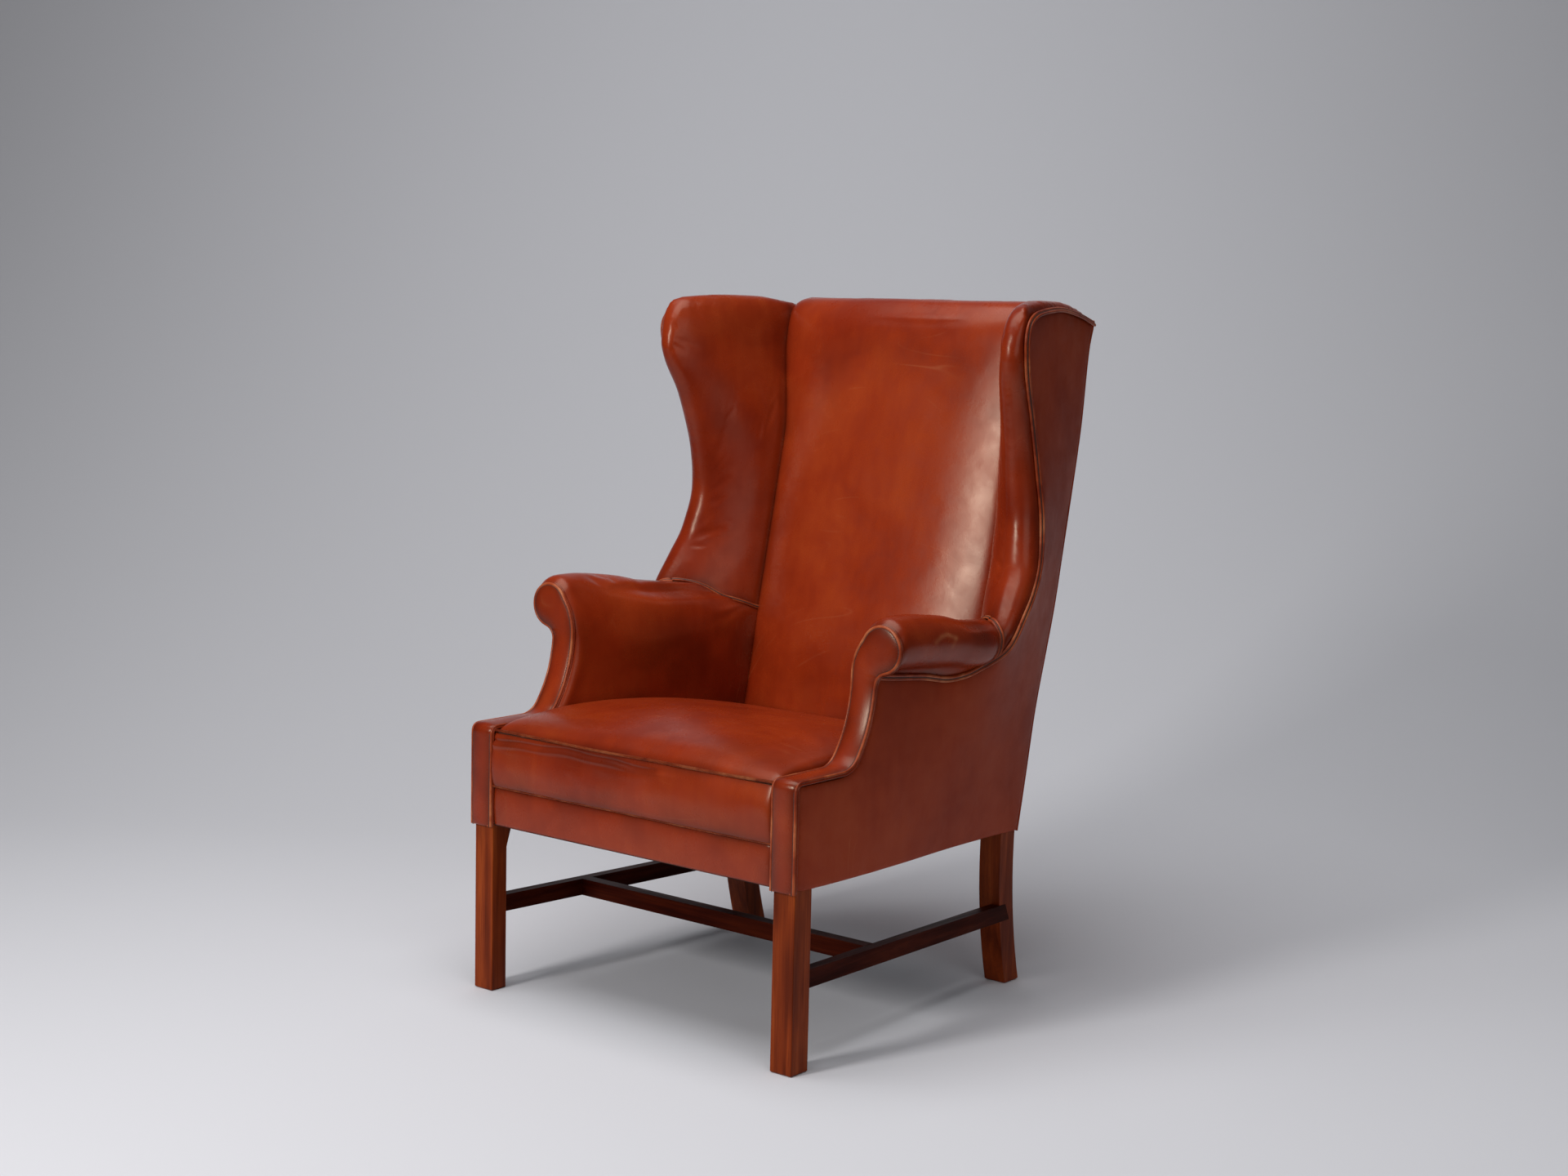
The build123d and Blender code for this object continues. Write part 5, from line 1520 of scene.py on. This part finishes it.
def makeBorder():
    rows, columns = border["rows"], border["columns"]
    ridge, lower, broad = border["ridge"]
    points = []
    for r in range(rows):
        share = r / (rows - 1)
        for c in range(columns):
            x = between(-border["half"], border["half"], c / (columns - 1))
            z = between(border["bottom"], border["top"], share)
            bulge = border["bulge"] * math.sin(math.pi * (0.04 + 0.92 * share)) ** border["roundness"]
            y = between(-0.0005, seat["seamY"] + 0.0005, share) - bulge
            edge = clamp((border["half"] - abs(x)) / border["edgeReach"])
            y += border["edgeDrop"] * (1 - edge) ** 2
            drop = border["top"] - z
            wave = creaseWave(x)
            fade = smooth((border["creaseTo"] - x) / border["creaseFade"])
            y += border["creaseDepth"] * fade * math.exp(-((drop - wave) / border["creaseWidth"]) ** 2)
            y -= border["creaseDepth"] * ridge * fade * math.exp(-((drop - wave - lower) / broad) ** 2)
            for dentX, dentZ, reach, depth in border["dents"]:
                away = ((x - dentX) / reach) ** 2 + ((z - dentZ) / (reach * 0.7)) ** 2
                y += depth * math.exp(-away)
            points.append((x, y, z))
    mesh = meshFrom("border", points, gridFaces(rows, columns))
    obj = addObject("seat_front_border_cover", mesh, hide)
    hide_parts("seat_front_border")
    soften(obj, *border["soft"], 14.0)
    inflate(obj, heldAtRim(obj, *border["held"]), border["air"])
    thicken(obj, border["hide"])
    return obj


band = {
    "bottom": 0.2790,
    "top": 0.3405,
    "pad": 0.0042,
    "edgeDrop": 0.003,
    "hide": 0.002,
    "rows": 18,
    "columns": 90,
    "soft": (0.0005, 0.06),
}


def makeBand():
    rows, columns = band["rows"], band["columns"]
    points = []
    for r in range(rows):
        share = r / (rows - 1)
        for c in range(columns):
            x = between(-border["half"], border["half"], c / (columns - 1))
            edge = clamp((border["half"] - abs(x)) / border["edgeReach"])
            pad = band["pad"] * math.sin(math.pi * (0.08 + 0.84 * share)) ** 0.45
            pad -= band["edgeDrop"] * (1 - edge) ** 2
            points.append((x, -pad, between(band["bottom"], band["top"], share)))
    mesh = meshFrom("band", points, gridFaces(rows, columns))
    obj = addObject("front_rail_band_cover", mesh, hide)
    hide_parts("front_rail_band")
    thicken(obj, band["hide"])
    soften(obj, *band["soft"], 16.0)
    return obj


print("seat")
seatCover = makeSeat()
makeStuffing()
borderCover = makeBorder()
bandCover = makeBand()


# Double piping: two cords along a path, on a stitched strip, made by nodes

def pipingTree():
    tree = bpy.data.node_groups.new("double_piping", "GeometryNodeTree")
    face = tree.interface
    face.new_socket("Geometry", in_out="INPUT", socket_type="NodeSocketGeometry")
    face.new_socket("Geometry", in_out="OUTPUT", socket_type="NodeSocketGeometry")
    for name, value in (("Cord Diameter", 0.005), ("Cord Spacing", 0.0056), ("Cord Lift", 0.0012),
                        ("Strip Width", 0.007), ("Stitch Pitch", 0.0042), ("Stitch Length", 0.0028)):
        face.new_socket(name, in_out="INPUT", socket_type="NodeSocketFloat").default_value = value
    face.new_socket("Hide", in_out="INPUT", socket_type="NodeSocketMaterial")
    face.new_socket("ThreadAndGrooveShade", in_out="INPUT", socket_type="NodeSocketMaterial")

    def node(kind, settings=None, **inputs):
        return add(tree, kind, settings, **inputs)

    def multiply(first, second):
        return math2(tree, "MULTIPLY", first, second)

    def scaled(vector, factor):
        made = node("ShaderNodeVectorMath", {"operation": "SCALE"}, Scale=factor)
        tree.links.new(vector, made.inputs[0])
        return made.outputs[0]

    def summed(first, second):
        made = node("ShaderNodeVectorMath", {"operation": "ADD"})
        tree.links.new(first, made.inputs[0])
        tree.links.new(second, made.inputs[1])
        return made.outputs[0]

    given = node("NodeGroupInput")
    sideWay = node("GeometryNodeInputNamedAttribute", {"data_type": "FLOAT_VECTOR"}, Name="side").outputs[0]
    upWay = node("GeometryNodeInputNamedAttribute", {"data_type": "FLOAT_VECTOR"}, Name="up").outputs[0]
    joined = node("GeometryNodeJoinGeometry")
    ring = node("GeometryNodeCurvePrimitiveCircle", Resolution=10,
                Radius=multiply(given.outputs["Cord Diameter"], 0.5))

    def moved(across, up):
        offset = summed(scaled(sideWay, across), scaled(upWay, up))
        place = node("GeometryNodeSetPosition", Geometry=given.outputs["Geometry"], Offset=offset)
        return node("GeometryNodeMeshToCurve", Mesh=place.outputs["Geometry"]).outputs["Curve"]

    for sign in (1, -1):
        curve = moved(multiply(given.outputs["Cord Spacing"], 0.5 * sign), given.outputs["Cord Lift"])
        cord = node("GeometryNodeCurveToMesh", Curve=curve, Profile_Curve=ring.outputs["Curve"],
                    Fill_Caps=True)
        shaded = node("GeometryNodeSetShadeSmooth", Geometry=cord.outputs["Mesh"])
        painted = node("GeometryNodeSetMaterial", Geometry=shaded.outputs[0], Material=given.outputs["Hide"])
        tree.links.new(painted.outputs[0], joined.inputs[0])
    # The strip between the cords takes the dark thread material: painted shade in the groove between them
    middle = moved(0.0, multiply(given.outputs["Cord Lift"], 1.15))
    flat = node("GeometryNodeCurvePrimitiveCircle", Resolution=6,
                Radius=multiply(given.outputs["Strip Width"], 0.28))
    base = node("GeometryNodeCurveToMesh", Curve=middle, Profile_Curve=flat.outputs["Curve"], Fill_Caps=True)
    paintedBase = node("GeometryNodeSetMaterial", Geometry=base.outputs["Mesh"],
                       Material=given.outputs["ThreadAndGrooveShade"])
    tree.links.new(paintedBase.outputs[0], joined.inputs[0])
    high = moved(0.0, multiply(given.outputs["Cord Lift"], 2.3))
    even = node("GeometryNodeResampleCurve", {"mode": "LENGTH"}, Curve=high,
                Length=given.outputs["Stitch Pitch"])
    stitch = node("GeometryNodeMeshCylinder", Vertices=6, Radius=0.00055,
                  Depth=given.outputs["Stitch Length"])
    spots = node("GeometryNodeCurveToPoints", {"mode": "EVALUATED"}, Curve=even.outputs["Curve"])
    spread = node("GeometryNodeInstanceOnPoints", Points=spots.outputs["Points"],
                  Instance=stitch.outputs["Mesh"], Rotation=spots.outputs["Rotation"])
    paintedStitch = node("GeometryNodeSetMaterial", Geometry=spread.outputs["Instances"],
                         Material=given.outputs["ThreadAndGrooveShade"])
    tree.links.new(paintedStitch.outputs[0], joined.inputs[0])
    whole = node("GeometryNodeRealizeInstances", Geometry=joined.outputs[0])
    result = node("NodeGroupOutput")
    tree.links.new(whole.outputs[0], result.inputs[0])
    return tree


# Dark thread for the stitches; the same material lies in the groove between the cords as painted shade
def threadAndGrooveShadeMaterial():
    material, tree = newMaterial("stitched_thread_and_groove_shade")
    place = add(tree, "ShaderNodeTexCoord").outputs["Object"]
    lay = noiseAt(tree, place, 700.0, 3.0)
    shade = ramp(tree, lay, [(0.3, (0.030, 0.007, 0.004)), (0.7, (0.085, 0.022, 0.010))])
    finishShader(tree, shade, 0.6, bumped(tree, lay, 0.0002, 0.6))
    return material


threadAndGrooveShade = threadAndGrooveShadeMaterial()
doubleTree = pipingTree()


piping = {
    "inset": 0.0046,    # from the strip's edge to its cords
    "lift": 0.0002,
    "step": 0.0045,
    "sideShift": 0.0008,
    "endLift": 0.0016,
    "endTurn": 0.338,    # the place across where the fine cords change to full ones
    "endSink": (0.0030, 0.0020, 0.0012, 0.0005),
    "single": {"Cord Spacing": 0.0, "Cord Lift": 0.0008, "Stitch Length": 0.0001, "Strip Width": 0.001},
    "fine": {"Cord Diameter": 0.0032, "Cord Spacing": 0.0034, "Cord Lift": 0.0010},
    "seat": {"Cord Diameter": 0.0050, "Cord Lift": 0.0014},
    "rail": {"Cord Diameter": 0.0040},
    "places": 120,
}


# One run of piping: points, the way that it faces, and what to change of the tree's sizes
def makePiping(name, line, facing, replaced, single=False, mirrorToo=False, **sizes):
    made = []
    line = np.asarray(line, float)
    facing = np.asarray(facing, float)
    tangent = np.gradient(line, axis=0)
    tangent /= np.maximum(np.linalg.norm(tangent, axis=1)[:, None], 1e-9)
    facing = facing - tangent * (facing * tangent).sum(1)[:, None]
    facing /= np.maximum(np.linalg.norm(facing, axis=1)[:, None], 1e-9)
    across = np.cross(tangent, facing)
    print(" ", name, "runs", round(float(np.linalg.norm(np.diff(line, axis=0), axis=1).sum()), 3), "m")
    for word, side in sides if mirrorToo else (("", 1),):
        flipX = np.array([side, 1, 1])
        mesh = bpy.data.meshes.new(name)
        places = [toFrame(p) for p in (line * flipX).tolist()]
        mesh.from_pydata(places, [(k, k + 1) for k in range(len(places) - 1)], [])
        for key, vectors in (("side", across * flipX), ("up", facing * flipX)):
            layer = mesh.attributes.new(key, "FLOAT_VECTOR", "POINT")
            layer.data.foreach_set("vector", vectors.astype(np.float32).ravel())
        obj = bpy.data.objects.new(name + ("_" + word if word else ""), mesh)
        bpy.context.collection.objects.link(obj)
        modifier = obj.modifiers.new("piping", "NODES")
        modifier.node_group = doubleTree
        wanted = dict(piping["single"], **sizes) if single else sizes
        for item in doubleTree.interface.items_tree:
            if item.item_type != "SOCKET" or item.in_out != "INPUT":
                continue
            if item.name in wanted:
                modifier[item.identifier] = wanted[item.name]
            elif item.name == "Hide":
                modifier[item.identifier] = pipingHide
            elif item.name == "ThreadAndGrooveShade":
                modifier[item.identifier] = threadAndGrooveShade
        settle(obj)
        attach(obj, "root")
        if replaced:
            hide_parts(*[node + ("_" + word if word else "") for node in replaced])
        made.append(obj)
    return made


# Round the strip: up its inner edge, over the scroll and down its outer edge
def stripPipingLine():
    rows = []
    lift = piping["lift"]
    for (y, z), (ny, nz) in zip(stripRun, stripNormal):
        rows.append((chair["stripIn"] + piping["inset"], y + ny * lift, z + nz * lift, 0, ny, nz))
    for x, z in scrollOutline(piping["inset"]):
        rows.append((x, chair["armFront"] - lift, z, 0, -1, 0))
    for (y, z), (ny, nz) in zip(stripRun[::-1], stripNormal[::-1]):
        if z < hollowZ - 0.001:
            rows.append((chair["stripOut"] - piping["inset"], y + ny * lift, z + nz * lift, 0, ny, nz))
    rows = softened(resample(rows, piping["step"]), 1)
    return rows[:, :3], rows[:, 3:]


print("piping")
stripPath, stripFacing = stripPipingLine()
makePiping("strip_double_piping", stripPath, stripFacing, ["strip_piping"], mirrorToo=True)
sideLine = resample(seamLine, piping["step"])
makePiping("side_double_piping", sideLine[:, :3] + np.array((piping["sideShift"], 0, 0)), sideLine[:, 3:],
           ["wing_piping"], mirrorToo=True)


# Where the arm's hide runs into the wing, from the crease inside over the roll to the neck outside
def armEndLine(wingObj):
    tree = BVHTree.FromObject(wingObj, bpy.context.evaluated_depsgraph_get())
    line = []
    for column in range(arm["wallRows"], armGrid.shape[1]):
        path = [Vector(toFrame(p)) for p in armGrid[arm["joinFrom"]:, column]]
        for start, end in zip(path[:-1], path[1:]):
            way = end - start
            hit, normal, _, _ = tree.ray_cast(start, way.normalized(), way.length)
            if hit is not None:
                line.append((hit.x, hit.y - chair["frontY"], hit.z, normal.x, normal.y, normal.z))
                break
    return line


endLine = np.array(armEndLine(wings[0]))
axis = np.array([(armMiddle(y)[0], y, armTop(y)[0] - armRadius(y)[0]) for y in endLine[:, 1]])
outward = endLine[:, :3] - axis
outward[:, 1] = 0
outward /= np.linalg.norm(outward, axis=1)[:, None]
endLine[:, 3:] = endLine[:, 3:] + outward
endLine[:, :3] += piping["endLift"] * endLine[:, 3:] / np.linalg.norm(endLine[:, 3:], axis=1)[:, None]
endLine = softened(resample(endLine, piping["step"]), 6)
turn = int(np.argmin(np.abs(endLine[:, 0] - piping["endTurn"]) + 9 * (endLine[:, 1] > 0.5)))
sink = np.array(piping["endSink"])[:, None]
ringLine = endLine[turn:].copy()
ringStart = ringLine[:len(sink)]    # the full cords rise out of the joint
ringStart[:, :3] -= sink * ringStart[:, 3:] / np.linalg.norm(ringStart[:, 3:], axis=1)[:, None]
makePiping("arm_end_double_piping", ringLine[:, :3], ringLine[:, 3:], [], mirrorToo=True)
makePiping("arm_end_piping", endLine[:turn + 1, :3], endLine[:turn + 1, 3:], [], mirrorToo=True,
           **piping["fine"])

# Single cords along the front seams
seamX = np.linspace(-seat["half"], seat["half"], piping["places"])
level = np.ones(piping["places"])
seatSeamZ = seat["seamZ"] + 0.0005 * np.sin(seamX * 23) + 0.0024 * (seamX / seat["half"]) ** 2
seatSeam = np.stack([seamX, level * (seat["seamY"] - 0.001), seatSeamZ], axis=1)
makePiping("seat_piping", seatSeam, np.outer(level, (0, -1, 0.5)), ["seat_piping"], single=True,
           **piping["seat"])
railSeamZ = border["bottom"] + 0.0004 * np.sin(seamX * 17 + 2)
railSeam = np.stack([seamX, level * -0.0022, railSeamZ], axis=1)
makePiping("rail_piping", railSeam, np.outer(level, (0, -1, 0)), ["rail_piping"], single=True,
           **piping["rail"])

# Painted shade darkens the hides along their seams and creases and in their nooks, patina darkens the back's
# top, and rubbing lightens them

patina = {
    # line: painted shade in a narrow band along each seam and crease; haze: broader painted shade near them,
    # broken up by noise
    "line": 0.34,
    "lineReach": 0.008,
    "haze": 0.46,
    "hazeReach": 0.036,
    "patch": 0.055,
    "patchBase": 0.55,
    "patchSwing": 0.9,
    "darkBase": 0.35,
    "most": 0.85,
    "dark": [    # dark patches, both sides alike, each a place, reach and strength: painted shade in the arm's nook, at its joint with the wing, at the roll's rear, beside the wing's crease and at the seat's front corner, and darker patina on the back's top
        ((0.035, 0.575, 1.045), (0.15, 0.10, 0.040), 0.46),
        ((0.150, 0.600, 1.000), (0.05, 0.10, 0.070), 0.22),
        ((0.255, 0.400, 0.520), (0.05, 0.13, 0.070), 0.60),
        ((0.376, 0.395, 0.628), (0.035, 0.060, 0.028), 0.50),
        ((0.300, 0.540, 0.900), (0.05, 0.09, 0.160), 0.16),
        ((0.330, 0.440, 0.620), (0.06, 0.05, 0.060), 0.40),
        ((0.200, 0.060, 0.450), (0.09, 0.04, 0.030), 0.25),
    ],
    "scuffs": [    # places along a scuff, its half width, its strength
        ([(0.384, 0.260, 0.623), (0.384, 0.277, 0.630), (0.384, 0.293, 0.632), (0.384, 0.315, 0.624)],
         0.0032, 0.75),
        ([(0.384, 0.315, 0.624), (0.384, 0.305, 0.612)], 0.004, 0.45),
    ],
}


# The seams and creases, with the crease between seat and back and the border's crease, along which painted
# shade is laid
def seamTree():
    tops = np.linspace(0.41, 1.12, 240)
    depths = np.linspace(0.10, 0.56, 150)
    lines = [stripPath, sideLine[:, :3], endLine[:, :3],
             [(creaseX(z), creaseY(z) + 0.004, z) for z in tops],
             [(seatHalf(y), y, seatEdge(y)[0] + 0.004) for y in depths]]
    lines = [np.asarray(line) * (side, 1, 1) for line in lines for _, side in sides]
    lines += [seatSeam, railSeam, [(x, 0.545, 0.413) for x in np.linspace(-0.24, 0.24, 120)],
              [(x, -0.008, border["top"] - creaseWave(x)) for x in np.linspace(-0.285, 0.06, 100)]]
    return nearTree([toFrame(place) for line in lines for place in resample(line, 0.003)])


# Paints the hide's darkening: painted shade along seams and creases and in the dark patches, with patina on
# the back's top
def paintShadeAndSoil(obj, tree, haze=1.0):
    shadeAndSoil = []
    for vert in obj.data.vertices:
        distance = tree.find(vert.co)[2]
        patch = patina["patchBase"] + patina["patchSwing"] * noise.noise(vert.co / patina["patch"])
        value = patina["line"] * math.exp(-(distance / patina["lineReach"]) ** 2)
        value += haze * patina["haze"] * clamp(patch) * math.exp(-distance / patina["hazeReach"])
        place = (abs(vert.co.x), vert.co.y - chair["frontY"], vert.co.z)
        for centre, reach, strength in patina["dark"]:
            away = sum(((p - c) / r) ** 2 for p, c, r in zip(place, centre, reach))
            if away < 5:
                value += strength * math.exp(-away) * clamp(patch + patina["darkBase"])
        shadeAndSoil.append(clamp(value, 0, patina["most"]))
    paint(obj, "shadeAndSoil", shadeAndSoil)


def paintScuffs(obj):
    places = pointsOf(obj) - (0, chair["frontY"], 0)
    wear = np.zeros(len(places))
    for line, width, strength in patina["scuffs"]:
        away = nearLine(places, resample(line, 0.002))
        wear += strength * np.exp(-(away / width) ** 2)
    paint(obj, "wear", np.clip(wear, 0, 1))


print("patina")
seams = seamTree()
for piece in strips + wings + arms + [insideBack, seatCover, borderCover, bandCover]:
    paintShadeAndSoil(piece, seams)
for piece in panels:
    paintShadeAndSoil(piece, seams, 0.6)
paintScuffs(arms[0])
